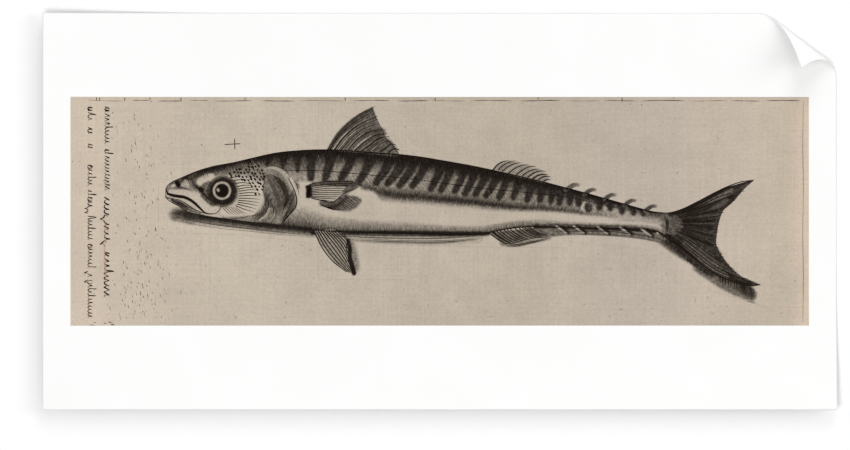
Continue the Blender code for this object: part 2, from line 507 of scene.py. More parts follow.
def bodyTones():
    # The back is near black at its edge and pales down to the lateral line, then stays a light grey down
    # to the dark band along the flank. Under that band the belly is bare paper with a low shade.
    down = depth / np.maximum(backToLateral, 1.0)
    stops = [0.0, 0.14, 0.3, 0.5, 0.7, 1.0, 1.25]
    front = np.interp(down, stops, [tones["back"], 0.8, 0.68, 0.6, 0.55, 0.42, 0.24])
    middle = np.interp(down, stops, [tones["back"], 0.84, 0.7, 0.55, 0.38, 0.27, 0.24])
    rear = np.interp(down, stops, [tones["back"], 0.86, 0.82, 0.78, 0.7, 0.55, 0.3])
    toFront = smoothStep((-71.8 - pointX) / 30.26)
    toRear = smoothStep((pointX - 45.4) / 27.24)
    backTone = middle + (front - middle) * toFront + (rear - middle) * toRear
    behindHead = smoothStep((pointX + 151.3) / 14.0)
    aboveFlank = smoothStep(0.5 + (pointY - heightOf(flankLine, pointX)) / 2.0)
    blendTone(everywhere, behindHead * aboveFlank, backTone, bodyMask)
    frontOfFlank = smoothStep((-46.9 - pointX) / 4.0)
    belowBars = smoothStep((np.minimum(heightOf(lateralLine, pointX) - 7.19,
        np.where(pointX > -63.5, heightOf(flankLine, pointX) - 2.0, 99.0)) - pointY) / 2.5)
    blendTone(everywhere, behindHead * frontOfFlank * belowBars, 0.02, bodyMask)
    above = pointY - heightOf(flankLine, pointX)
    fall = np.interp(pointX, [-62, -50.7, -44.6, -30.2, 30.3, 75.7, 121.1],
        [0.5, 0.5, 1.15, 1.0, 0.85, 0.5, 0.4])
    above = np.where(above < 0.0, above / fall, above)
    flankTone = np.interp(above, [-7.5, -6.0, -4.5, -3.0, -1.5, 0.0, 1.5, 3.0, 4.5, 8.0],
        [0.0, 0.08, 0.24, 0.46, 0.64, 0.72, 0.54, 0.44, 0.38, 0.3])
    flankTone = flankTone * np.interp(pointX, [-63.5, -51.4, -42.3, 30.3, 79.5, 121.1, 143.8, 162.7],
        [0.72, 0.78, 1.0, 1.0, 0.85, 0.5, 0.3, 0.2])
    flankAmount = smoothStep((pointX + 62.8) / 5.0) * smoothStep((above + 7.8) / 1.2)
    flankAmount = flankAmount * smoothStep((7.0 - above) / 3.0) * smoothStep((168 - pointX) / 8.0)
    blendTone(everywhere, flankAmount, flankTone, bodyMask)
    rootTone = np.interp(depth, [0, 1.51, 3.03, 4.54, 6.05, 7.57, 9.08],
        [0.78, 0.62, 0.5, 0.36, 0.22, 0.17, 0.12])
    nearRoot = smoothStep((pointX - 125.6) / 16.65) * smoothStep((rise - 4.0) / 2.0)
    blendTone(everywhere, nearRoot, rootTone, bodyMask)
    reach = np.interp(pointX, [-127.1, -105.9, -83.2, -60.5, -30.2, 15.2, 45.4, 79.5, 121.1, 158.9],
        [20.0, 17.0, 11.5, 9.6, 8.8, 6.8, 5.8, 5.2, 4.0, 3.4])
    lowTone = np.interp(rise / reach, [0.0, 0.14, 0.3, 0.5, 0.8, 1.0, 1.2],
        [0.8, 0.5, 0.33, 0.24, 0.18, 0.1, 0.0])
    lowAmount = smoothStep((1.2 - rise / reach) / 0.35) * behindHead * smoothStep((172.5 - pointX) / 4.0)
    blendTone(everywhere, lowAmount, lowTone, bodyMask)


barFeet = [-97.6, -86.8, -74.9, -61.4, -48.2, -39.5, -30.6, -20.8, -6.8, 0.8, 11.4, 19, 26.9, 34.8, 44.7,
    55.6, 66.1, 75.7, 84, 90.3, 98.1, 104.9, 120.7, 129, 137.7, 146.3, 154.1]


def barTones():
    # The mackerel bars run from the back line to just past the lateral line and lean towards the tail.
    for number, footX in enumerate(barFeet):
        lean = np.interp(footX, [-97.6, -87, -74.9, -61.2, -48.4, -39.3, -30.2, -21.1, -6.8, 11.4, 34.8,
            44.7, 55.3, 75.7, 106, 155.1], [0, 4.54, 9.08, 9.84, 11.35, 12.86, 12.11, 11.35, 8.32, 7.57,
            9.08, 6.81, 4.54, 2.27, 0, 0])
        drop = 0.6 * math.sin(2.4 * number) + np.interp(footX, [-97.6, 90.8, 113.5, 155.1],
            [5.67, 4.92, 3.03, 0.76])
        topX = footX + lean
        top = (topX, heightOf(back, topX) + 0.2)
        foot = (footX, heightOf(lateralLine, footX) - drop)
        middle = (0.5 * (topX + footX) + 0.16 * lean, 0.5 * (top[1] + foot[1]))
        slim = np.interp(footX, [-97.6, -45.4, 0, 45.4, 113.5, 155.1], [1.2, 1.25, 1.0, 1.0, 0.85, 0.7])
        wide = slim * np.array([2.5, 2.2, 1.7 + 0.2 * math.sin(1.7 * number), 1.5, 1.1])
        layBand([top, middle, foot], wide, 2.5, tones["bar"], 0.92, bodyMask)


def napeTones():
    # Short dark wedges over the gill, and the grey between them.
    for top, foot, wide in (((-146.7, 40.3), (-148.3, 36.5), 1.2), ((-138.4, 41.8), (-139.9, 35.4), 1.6),
            ((-128.6, 44.1), (-130.9, 34.7), 1.8), ((-118, 45.6), (-118.7, 32.4), 2.2),
            ((-107.4, 46), (-107.8, 30.5), 2.4)):
        layBand([top, foot], [1.3 * wide, 0.8 * wide, 0.2], 2.0, tones["nape"], 0.85, bodyMask)


def headTones():
    # The head is pale, dark along the crown by depth below the back line, with smears round the eye.
    onHead = smoothStep((-134.6 - pointX) / 12.0)
    blendTone(everywhere, onHead, 0.1, bodyMask)
    topTone = np.interp(depth, [0.0, 1.4, 3.4, 5.5, 8.0, 11.0], [0.88, 0.84, 0.68, 0.5, 0.38, 0.24])
    reach = np.interp(pointX, [-207.3, -189.1, -170.2, -151.3, -134.6], [5.0, 6.5, 9.0, 12.0, 12.0])
    topAmount = onHead * smoothStep((reach - depth) / 3.0)
    blendTone(everywhere, topAmount, topTone, bodyMask)
    # snout
    layBand([(-206.5, 16.1), (-205.4, 19.5), (-202, 21.8), (-196.7, 23.7)], [0.8, 1.2, 1.4, 1.2], 2.2, 0.5,
        0.8, bodyMask)
    layBand([(-204.2, 16.9), (-198.2, 18), (-192.1, 18), (-186.8, 16.9)], 1.0, 3.0, 0.3, 0.7, bodyMask)
    layBand([(-194, 20.3), (-192, 21.8), (-190.2, 20.8)], [0.8, 1.4, 0.8], 1.6, 0.08, 0.95, bodyMask)
    layBand([(-202, 19.1), (-200.5, 19.5)], 0.8, 1.0, 0.06, 0.9, bodyMask)
    layBand([(-198.8, 21.4), (-198, 20)], 1.3, 1.0, 0.94, 1.0, bodyMask)
    # the dark smear from the crown to the spot in front of the eye, and on towards the eye's lower edge
    layBand([(-186.8, 27.5), (-187.2, 23.7), (-185.7, 19.9), (-181.5, 16.9)], [1.6, 1.6, 1.2, 1.0], 3.0,
        0.62, 0.8, bodyMask)
    layBand([(-180, 16.1), (-177, 11.6), (-171.7, 7)], [1.4, 2.0, 2.0], 2.6, 0.66, 0.9, bodyMask)
    layBand([(-176.2, 19.9), (-178.5, 16.9), (-177, 13.8)], [2.0, 1.6, 2.0], 3.0, 0.6, 0.8, bodyMask)
    layBand([(-181.9, 21.8), (-178.5, 24.4), (-172.5, 26.7)], [1.0, 1.7, 0.9], 2.2, 0.05, 0.95, bodyMask)
    layBand([(-181.5, 16.9), (-180, 16.1)], 1.2, 0.8, 0.9, 0.95, bodyMask)
    layArea([(-160.4, 32.8), (-152.8, 35), (-143.7, 37.3), (-135.4, 36.5), (-131.6, 30.5), (-132.4, 24.4),
        (-139.2, 25.2), (-146.7, 27.5), (-154.3, 28.2)], 5.0, 0.42, 0.8, bodyMask)
    # the eye: a dark socket, a pale ring and the pupil
    eye = np.array((-164.9, 15.6))
    socket = np.hypot(pointX - eye[0] - 0.9, pointY - eye[1] + 0.7)
    blendTone(everywhere, smoothStep((12.8 - socket) / 4.0), tones["socket"], bodyMask)
    ring = np.hypot(pointX - eye[0], pointY - eye[1])
    blendTone(everywhere, smoothStep((7.5 - ring) / 0.9), 0.18, bodyMask)
    blendTone(everywhere, smoothStep((5.5 - ring) / 0.9), tones["pupil"], bodyMask)
    layBand([(-168.1, 16.5), (-167.6, 15.7)], 0.4, 1.2, 0.1, 0.95)
    # the pale upper jaw, the lower jaw and the chin
    layBand([(-203.5, 14.6), (-196.7, 14), (-189.1, 12), (-182.3, 7), (-176.2, 1.7), (-169.4, 0.6)],
        [0.5, 1.2, 2.2, 2.6, 2.4, 1.2], 2.0, 0.05, 0.9, bodyMask)
    layArea([(-205, 10.1), (-199.7, 8.9), (-194.4, 6.3), (-189.1, 1.7), (-183.1, -0.5), (-177, -2),
        (-181.5, -2), (-189.1, -0.2), (-195.2, 2.1), (-202, 6.7)], 1.6, 0.66, 0.9, bodyMask)
    layBand([(-205.8, 10.7), (-201.2, 10.1), (-195.2, 8.1), (-189.1, 4.8), (-183.8, 1.1), (-177.8, -1.6)],
        [0.2, 0.3, 0.5, 0.7, 0.6, 0.3], 0.8, 0.1, 0.9, bodyMask)
    # the cheek and the lower cheek
    layArea([(-154.3, 25.2), (-147.5, 23.7), (-141.4, 19.9), (-136.2, 14.6), (-133.1, 9.3), (-136.2, 1.7),
        (-141.4, -2.8), (-151.3, -5.1), (-162.6, -4.3), (-166.4, 0.2), (-158.8, 1.7), (-152, 7.8),
        (-151.3, 16.1)], 2.4, 0.02, 0.95, bodyMask)
    layBand([(-163.4, -5.4), (-154.3, -6.2), (-145.2, -6.6), (-139.2, -7.3)], [0.2, 0.6, 1.0, 1.2], 2.4,
        0.42, 0.8, bodyMask)


def gillTones():
    # The gill covers are overlapping plates: a pale upper band, a dark inner plate and paler lower folds.
    layArea([(-133.1, 27.5), (-127.1, 28.2), (-119.5, 24.4), (-113.5, 16.9), (-108.9, 10.8), (-108.5, 4.8),
        (-114.2, -2.8), (-119.9, -9.6), (-128.6, -8.5), (-139.2, -7), (-142.2, -4.7), (-136.2, 0.2),
        (-132.4, 7.8), (-133.9, 14.6)], 1.4, 0.42, 0.95, bodyMask)
    layArea([(-133.9, 33.1), (-124.8, 34.1), (-117.2, 30.3), (-113.5, 25.2), (-110.8, 16.9),
        (-113.5, 14.6), (-115.7, 19.9), (-122.5, 26), (-131.6, 28.6)], 1.4, 0.2, 0.95, bodyMask)
    layBand([(-124, 24.4), (-118.7, 18.4), (-115.7, 12.3), (-116.5, 6.3)], [0.6, 1.6, 2.2, 1.4], 3.0, 0.56,
        0.8, bodyMask)
    layBand([(-110, 14.6), (-114.2, 7.8), (-118.7, 1)], [1.0, 1.4, 0.8], 2.4, 0.62, 0.8, bodyMask)
    layBand([(-130.9, 12.3), (-129.7, 7), (-131.2, 1), (-136.2, -4.3)], [1.4, 1.8, 1.2, 0.4], 2.0, 0.62,
        0.85, bodyMask)
    layBand([(-124.8, 13.8), (-123.7, 6.3), (-124.8, -1.3)], [0.8, 1.4, 0.8], 2.2, 0.56, 0.6, bodyMask)
    layBand([(-129.3, 1.7), (-131.6, -2.8), (-136.2, -6.2)], [0.5, 0.8, 0.3], 0.9, 0.16, 0.85, bodyMask)
    layBand([(-125.6, -2), (-127.8, -6.2)], [0.6, 0.4], 0.9, 0.2, 0.8, bodyMask)
    layBand([(-118.7, 1.7), (-120.3, -2.8), (-122.5, -7.3)], [1.0, 1.0, 0.6], 1.8, 0.3, 0.7, bodyMask)
    # behind the gill: the bright edge of the shoulder, a grey hollow, and the bright breast
    layBand([(-112.7, 24.4), (-109.7, 17.6), (-107, 9.3), (-106.6, 3.3)], [0.8, 1.0, 1.2, 1.4], 1.4, 0.05,
        0.95, bodyMask)
    layBand([(-108.9, 22.2), (-107, 17.6)], [0.6, 0.8], 1.4, 0.4, 0.8, bodyMask)
    layBand([(-103.6, 19.9), (-104, 13.8), (-102.9, 7.8)], [1.0, 1.8, 2.0], 1.8, 0.03, 0.95, bodyMask)


def finTones():
    # Each fin is an area of one grey with darker and paler bands along its rays.

    # pectoral fin: a dark root, a grey blade that darkens along its upper edge, and its cast shadow
    layArea([(-90.8, 5.7), (-82.2, 4.3), (-74.7, 8.5), (-69.9, 11.6), (-63.3, 11.4), (-59.1, 8.5),
        (-61.4, 4.3), (-67.1, 0.5), (-74.7, 0), (-82.2, 1.9), (-87.9, 3.8)], 2.0, 0.42, 0.95, bodyMask)
    layBand([(-88.9, 6.2), (-81.3, 5.9), (-74.7, 8.5), (-70.9, 10.9)], [1.0, 1.8, 2.4, 0.8], 2.6, 0.66,
        0.9, bodyMask)
    layArea([(-96.9, 21.3), (-88.9, 22.3), (-77.5, 22.7), (-66.2, 22.3), (-59.1, 20.4), (-64.3, 17.5),
        (-72.8, 13.3), (-80.4, 7.1), (-88.9, 8.1), (-96.4, 10), (-98.3, 16.1)], 0.7, 0.12, 1.0)
    layBand([(-96.4, 20.4), (-87, 21), (-74.7, 21), (-66.2, 20.7), (-59.5, 20.4)],
        [0.5, 1.0, 1.4, 1.8, 0.4], 1.6, 0.68, 0.9)
    layBand([(-64.3, 19), (-68.1, 17.1), (-71.8, 14.7)], [1.2, 1.4, 0.8], 2.0, 0.6, 0.8)
    layArea([(-101.9, 19), (-97.6, 20.1), (-96.7, 15.4), (-97.6, 10.6), (-100.6, 9.9), (-101.4, 13.1),
        (-101, 15.9)], 1.8, 0.84, 1.0)
    # pelvic fin and the soft shade to its right
    layBand([(-68.1, -21.7), (-66.6, -27.4), (-65.7, -34), (-64.5, -42.5)], [0.4, 1.2, 1.8, 1.8], 3.6,
        0.34, 0.8)
    layArea([(-95.3, -15.1), (-78.5, -14.1), (-70.4, -21.2), (-70.9, -27.4), (-69.5, -32.1),
        (-68.5, -41.6), (-64.7, -47.2), (-69.9, -45.8), (-78.5, -39.7), (-87, -29.3), (-92.6, -20.8)], 0.7,
        0.26, 1.0)
    layBand([(-69.5, -21.7), (-68.1, -29.3), (-68.1, -34), (-66.6, -40.6), (-65, -46.8)],
        [0.7, 1.1, 0.9, 1.3, 1.3], 0.9, 0.9, 0.95)
    # first dorsal fin
    layArea([(-84.9, 46.4), (-81.1, 52.2), (-74.7, 61), (-66.2, 69.1), (-58.6, 74.8), (-51.5, 77.8),
        (-49.1, 73.8), (-45.8, 64.8), (-43, 61.5), (-41.6, 55.8), (-38.3, 53.5), (-31.2, 44), (-58.6, 44)],
        0.8, 0.46, 1.0)
    layBand([(-84.3, 46.9), (-77.5, 57.7), (-66.2, 68.6), (-51.5, 77.6)], [0.5, 0.8, 0.9, 0.6], 1.2, 0.7,
        0.8)
    layBand([(-52.9, 46.4), (-47.2, 55.8), (-44.4, 59.6)], [2.2, 2.6, 1.0], 4.0, 0.62, 0.7)
    for base, half, tip in (((-81.2, 47), (-76.4, 53.9), (-70.3, 60)),
            ((-77.1, 47), (-71.1, 54.7), (-63.5, 61.5)), ((-69.9, 46.8), (-65, 53.2), (-57.5, 59.2)),
            ((-64.3, 46.7), (-59, 52.4), (-52.2, 56.6)), ((-57.5, 46.4), (-52.9, 50.9), (-48.4, 53.2)),
            ((-51.4, 45.9), (-47.6, 49), (-43.8, 50.5))):
        layBand([base, half, tip], [0.25, 0.15, 0.0], 0.7, 0.05, 0.9)
    # second dorsal fin: faint grey between open rays
    layArea([(40.7, 31.2), (45.4, 35.8), (50.6, 37.5), (60.6, 35.8), (71, 32.7), (78.5, 28.9),
        (81.8, 25.1), (81.4, 23.2), (68.1, 24.2), (51.1, 28.4)], 1.4, 0.13, 1.0)
    # anal fin and the grey under the tail root
    layArea([(36.4, -16), (50.2, -24.6), (55.8, -24.1), (71, -20.3), (81.8, -18.7), (74.8, -13.2),
        (58.7, -14.1)], 1.0, 0.48, 1.0)
    layBand([(46.4, -24.4), (54.9, -25.2), (68.1, -22.7), (82.8, -20)], [0.5, 1.0, 0.9, 0.3], 2.0, 0.34,
        0.9)
    layArea([(74.8, -12.1), (94.6, -11.8), (115.4, -11.8), (139.1, -12.3), (158, -14.6), (172.2, -21.7),
        (166.5, -23.1), (153.2, -21), (134.3, -18.9), (115.4, -17.9), (96.5, -17.6), (81.4, -18.3)], 2.0,
        0.42, 0.95)
    layBand([(71.9, -11.5), (83.3, -11.1), (96.5, -11.4), (115.4, -12), (136.2, -12.5), (155.1, -14.1),
        (162.7, -15.1)], [0.9, 1.2, 1.3, 1.3, 1.3, 1.3, 0.8], 1.3, 0.9, 0.95, 1.0 - 0.5 * bodyMask)
    for x, y in ((88.2, -11.3), (101.2, -11.3), (119.4, -11.9), (136.4, -12.3), (152.3, -13.4)):
        leaf = np.array([(0.0, 0.0), (2.8, -2.0), (5.4, -4.0), (7.4, -5.2)])
        layBand(leaf + (x + 1.7, y - 0.2), [0.7, 1.2, 1.1, 0.4], 1.2, 0.8, 0.9)
        layBand(leaf + (x, y), [0.3, 0.35, 0.3, 0.1], 0.8, 0.1, 1.0)
    # finlets along the back
    for (x, y), size in zip(((94.6, 16.9), (108.8, 13.6), (123.9, 9.8), (139.1, 5.5), (154.8, 1.2)),
            (1.0, 0.84, 0.84, 0.84, 0.84)):
        tuft = size * np.array([(0.6, -0.6), (3.8, 1.7), (7.0, 3.2), (10.0, 2.8)]) + (x, y)
        layBand(tuft, [1.0, 1.0, 0.6, 0.1], 1.4, 0.3, 0.85)


def tailTones():
    # The tail fin is an area of dark grey, rayed from its root, with a pale fan at the root.
    outline = np.r_[tailTop, tailFork, tailBottom[::-1], [belly[-1], back[-1]]]
    tailMask = maskOf(outline)
    # rays fan out from the tail root, dark and pale in turn: a few sines of the angle seen from there
    angle = np.arctan2(pointY + 8.1, pointX - 160.4)
    far = np.hypot(pointY + 8.1, pointX - 160.4)
    rays = np.sin(47.0 * angle) + 0.8 * np.sin(83.0 * angle + 1.0)
    rays = rays + 0.5 * np.sin(19.0 * angle + 0.05 * far)
    rayTone = np.interp(pointX, [169.5, 181.6, 196.8, 242.1], [0.56, 0.68, 0.7, 0.74])
    rayTone = rayTone + tones["tailRays"] * rays
    blendTone(everywhere, 1.0, rayTone, tailMask)
    # the pale fan where the scales end, and the ring in front of it
    layArea([(170.7, -2.8), (175.6, -3.2), (180.5, -5.4), (182, -10.4), (180.5, -14.5), (174.8, -16.8),
        (171.4, -13.4), (170.7, -8.1)], 5.0, 0.42, 0.9)
    layBand([(169.5, -3.7), (170.3, -6.2), (169.7, -9.6), (169.5, -13.4), (170.4, -16.4)],
        [0.8, 1.0, 1.0, 1.0, 0.6], 2.8, 0.5, 0.8)
    # open, paler rays in both lobes
    layBand([(193.7, 4.8), (202.1, 8.9), (210.4, 12.3), (219.5, 16.5)], [0.6, 2.2, 2.4, 1.4], 3.0, 0.36,
        0.9, tailMask)
    layBand([(206.6, 2.5), (211.9, 5.1), (216.4, 8.2)], [0.6, 1.0, 0.8], 1.6, 0.42, 0.8, tailMask)
    layBand([(185.4, -24.7), (196.8, -33.8), (207.3, -42.9), (215.7, -49)], [0.8, 2.6, 2.6, 1.0], 3.0,
        0.42, 0.9, tailMask)
    layBand([(193.7, -25.5), (200.5, -30), (205.8, -35.3)], [0.8, 1.6, 1.0], 2.6, 0.6, 0.7, tailMask)
    # the thin outer margin of the tail
    layBand(tailFork[::6] + (-0.8, 0.0), 1.3, 1.6, 0.62, 0.7, tailMask)
    layBand([(174.1, -2), (185.4, 1.7), (196.8, 7), (208.9, 13.5), (219.5, 18.8), (230, 22.9),
        (236.9, 23.3)], 0.8, 1.6, 0.85, 0.9, tailMask)
    layBand([(171, -18.8), (180.1, -26.7), (189.2, -34.4), (198.3, -42.6), (207.3, -48.3), (216.4, -52.6),
        (227, -55.3), (234.6, -56.3)], 1.1, 1.8, 0.88, 0.95, tailMask)
    return tailMask


def castShadows():
    # The fish lies on the page: a streaky shadow under the head and belly and behind the lower tail lobe.
    below = -rise
    reach = np.interp(pointX, [-205.8, -199.7, -191.4, -177.8, -163.4, -149.8, -136.2, -122.5, -108.9,
        -95.3], [5.3, 9.08, 10.59, 8.7, 7.19, 7.19, 7.94, 7.94, 7.19, 6.81])
    streak = np.interp(below / reach, [0.0, 0.2, 0.35, 0.5, 0.62, 0.75, 0.9, 1.0],
        [0.86, 0.82, 0.66, 0.44, 0.28, 0.2, 0.09, 0.0])
    streak = streak * np.interp(pointX, [-205.8, -201.2, -193.7], [0.5, 0.7, 1.0])
    amount = smoothStep((pointX + 195.2) / 4.54) * smoothStep((-91.5 - pointX) / 3.03) * (below > -0.6)
    blendTone(everywhere, amount * (below < reach), streak, 1.0 - bodyMask)
    layBand([(-199.7, -2.5), (-194.4, -2.5), (-189.1, -3.2)], [2.2, 3.2, 3.2], 5.0, 0.5, 0.9,
        1.0 - bodyMask)
    layBand([(-198.2, -1.7), (-193.7, -1.6), (-187.6, -2.8)], [0.2, 1.4, 2.0], 3.0, 0.8, 0.85,
        1.0 - bodyMask)
    layBand([(-96.8, -16.4), (-83.2, -16.8), (-68.1, -16.7), (-45.4, -16.9), (-15.1, -17.2), (15.2, -17.3),
        (36.4, -17)], [0.3, 0.9, 1.2, 1.3, 1.3, 1.2, 0.5], 1.8, 0.86, 0.95)
    layBand([(-71.8, -20.2), (-49.1, -21.1), (-22.7, -21.9), (7.6, -22.2), (30.3, -21.1)],
        [0.8, 1.6, 2.0, 1.6, 0.6], 3.2, 0.15, 0.8, 1.0 - bodyMask)
    shadow = 1.0 - np.maximum(bodyMask, tailMask)
    layBand([(165.2, -20.6), (174.1, -27), (186.7, -35), (199.4, -42.1), (212.3, -50.1), (225.4, -56.7),
        (233.4, -59.5)], [0.8, 1.2, 1.2, 1.4, 1.8, 2.4, 2.4], 3.2, 0.56, 0.95, shadow)
    layBand(tailBottom[4:46:6], [0.6, 1.6, 2.0, 2.4, 2.6], 2.2, 0.8, 0.9, shadow)
    layBand([(193.7, -42.9), (204.3, -49.3), (215.7, -55.9), (227, -60.6), (235.3, -63.5)],
        [0.8, 1.4, 2.0, 2.6, 2.6], 3.2, 0.5, 0.95, shadow)
    layBand([(227.8, -58.4), (234.6, -61.4)], [1.8, 2.4], 2.4, 0.72, 0.85, shadow)
    layBand([(166.5, -19.1), (175.6, -25.5), (186.2, -33.8), (196.8, -42.1), (205.8, -47.9)],
        [1.0, 1.2, 1.2, 1.2, 1.0], 2.0, 0.74, 0.9, shadow)


def roundMark():
    # A pale crescent beside a dark spot, low on the tail root.
    middle = np.array((111.3, 3))
    gap = np.hypot(pointX - middle[0], pointY - middle[1])
    ring = smoothStep((5.0 - gap) / 0.9)
    blendTone(everywhere, ring, 0.34, bodyMask)
    blendTone(everywhere, ring * smoothStep((middle[0] - 0.6 - pointX) / 1.6), 0.03, bodyMask)
    spot = np.hypot(pointX - middle[0] - 0.9, (pointY - middle[1]) / 1.25)
    blendTone(everywhere, smoothStep((3.6 - spot) / 1.2), 0.66, bodyMask)


def mottleTones():
    # The acid bites unevenly: each point's chance value, summed over its eight neighbours and itself,
    # moves the tone by an amount that is greatest at half tone, tone * (1 - tone).
    rough = np.random.default_rng(3).normal(0.0, 1.0, tonePlate.shape)
    for axis in (0, 1):
        rough = rough + np.roll(rough, 1, axis) + np.roll(rough, -1, axis)
    tonePlate[:] = np.clip(tonePlate + tones["mottle"] * rough * tonePlate * (1.0 - tonePlate), 0.0, 1.0)


bodyTones()
barTones()
napeTones()
roundMark()
headTones()
gillTones()
tailMask = tailTones()
castShadows()
finTones()
mottleTones()
print("tones laid:", tonePlate.shape)


# What the pen does: the widths of its lines in mm, and how many scattered marks the plate has.
pen = {"outline": 0.62, "mouth": 2.2, "cheek": 0.6, "crown": 0.26, "hatching": 0.24, "spots": (1.7, 2.7),
    "finRays": 0.6, "tailRays": 0.26, "scratches": 190, "specks": 90}
# Each piece's engraved lines: families of lines as arrays (lines, stations, 2), and their widths in mm.
strokes = {}
chance = np.random.default_rng(7)


def penLines(piece, paths, width, press=(0.35, 1.0, 0.9, 0.25)):
    # Each line is as wide as its own width times the pressure, which changes along the line.
    paths = np.asarray(paths, float)
    paths = paths[None] if paths.ndim == 2 else paths
    pressure = np.interp(np.linspace(0.0, 1.0, paths.shape[1]), np.linspace(0.0, 1.0, len(press)), press)
    widths = np.atleast_1d(np.asarray(width, float))[:, None] * pressure
    strokes.setdefault(piece, []).append((paths, np.broadcast_to(widths, paths.shape[:2])))


def family(guides, count, stations=10, shake=0.0):
    # Lines spread evenly over a few guide lines: at each station a straight blend from one guide to the
    # next, moved sideways by a little chance.
    shape = np.stack([smoothLine(guide, stations) for guide in guides])
    place = np.linspace(0.0, len(guides) - 1.0, count)
    place = np.clip(place + chance.uniform(-shake, shake, count), 0.0, len(guides) - 1.0)
    low = np.minimum(place.astype(int), len(guides) - 2)
    share = (place - low)[:, None, None]
    return shape[low] * (1.0 - share) + shape[low + 1] * share


def hatch(x, startY, endY, lean, stations=7, bow=0.0):
    # Short strokes from one height to another. They lean by a distance along x and bow like an arch.
    t = np.linspace(0.0, 1.0, stations)
    along = x[:, None] + np.atleast_1d(lean)[:, None] * t + bow * 4.0 * t * (1.0 - t)
    up = startY[:, None] + (endY - startY)[:, None] * t
    return np.stack([along, up], axis=-1)


def evenX(low, high, step):
    # Places a step apart along x, each moved by up to 0.3 of a step.
    x = np.arange(low, high, step)
    return x + chance.uniform(-0.3, 0.3, len(x)) * step


def outlineStrokes():
    # The lines round the body, and the lateral line with its short scale ticks.
    penLines("fish_outline", back, pen["outline"], (0.7, 1.0, 1.0, 0.9, 0.8))
    penLines("fish_outline", belly, 0.6, (0.6, 1.0, 0.7, 0.8, 1.0, 1.0, 0.9, 0.8, 0.6))
    penLines("fish_outline", smoothLine([(-207.3, 16.9), (-206.8, 15.5), (-205.9, 14), (-204.5, 12.8)],
        10), 0.7, (0.8, 1.0, 0.9))
    penLines("fish_outline", smoothLine([(-207.1, 12.3), (-207.6, 11.4), (-206.8, 10.5), (-205, 9.6)], 10),
        0.6, (0.5, 1.0, 0.8))
    penLines("fish_outline", lateralLine, 0.3, (0.9, 1.0, 1.0, 0.8, 0.4))
    ticks = evenX(-102.1, 121.1, 2.6)
    level = heightOf(lateralLine, ticks)
    penLines("fish_outline", hatch(ticks, level + 0.1, level - 0.7, np.full(len(ticks), -0.7), 5), 0.24)


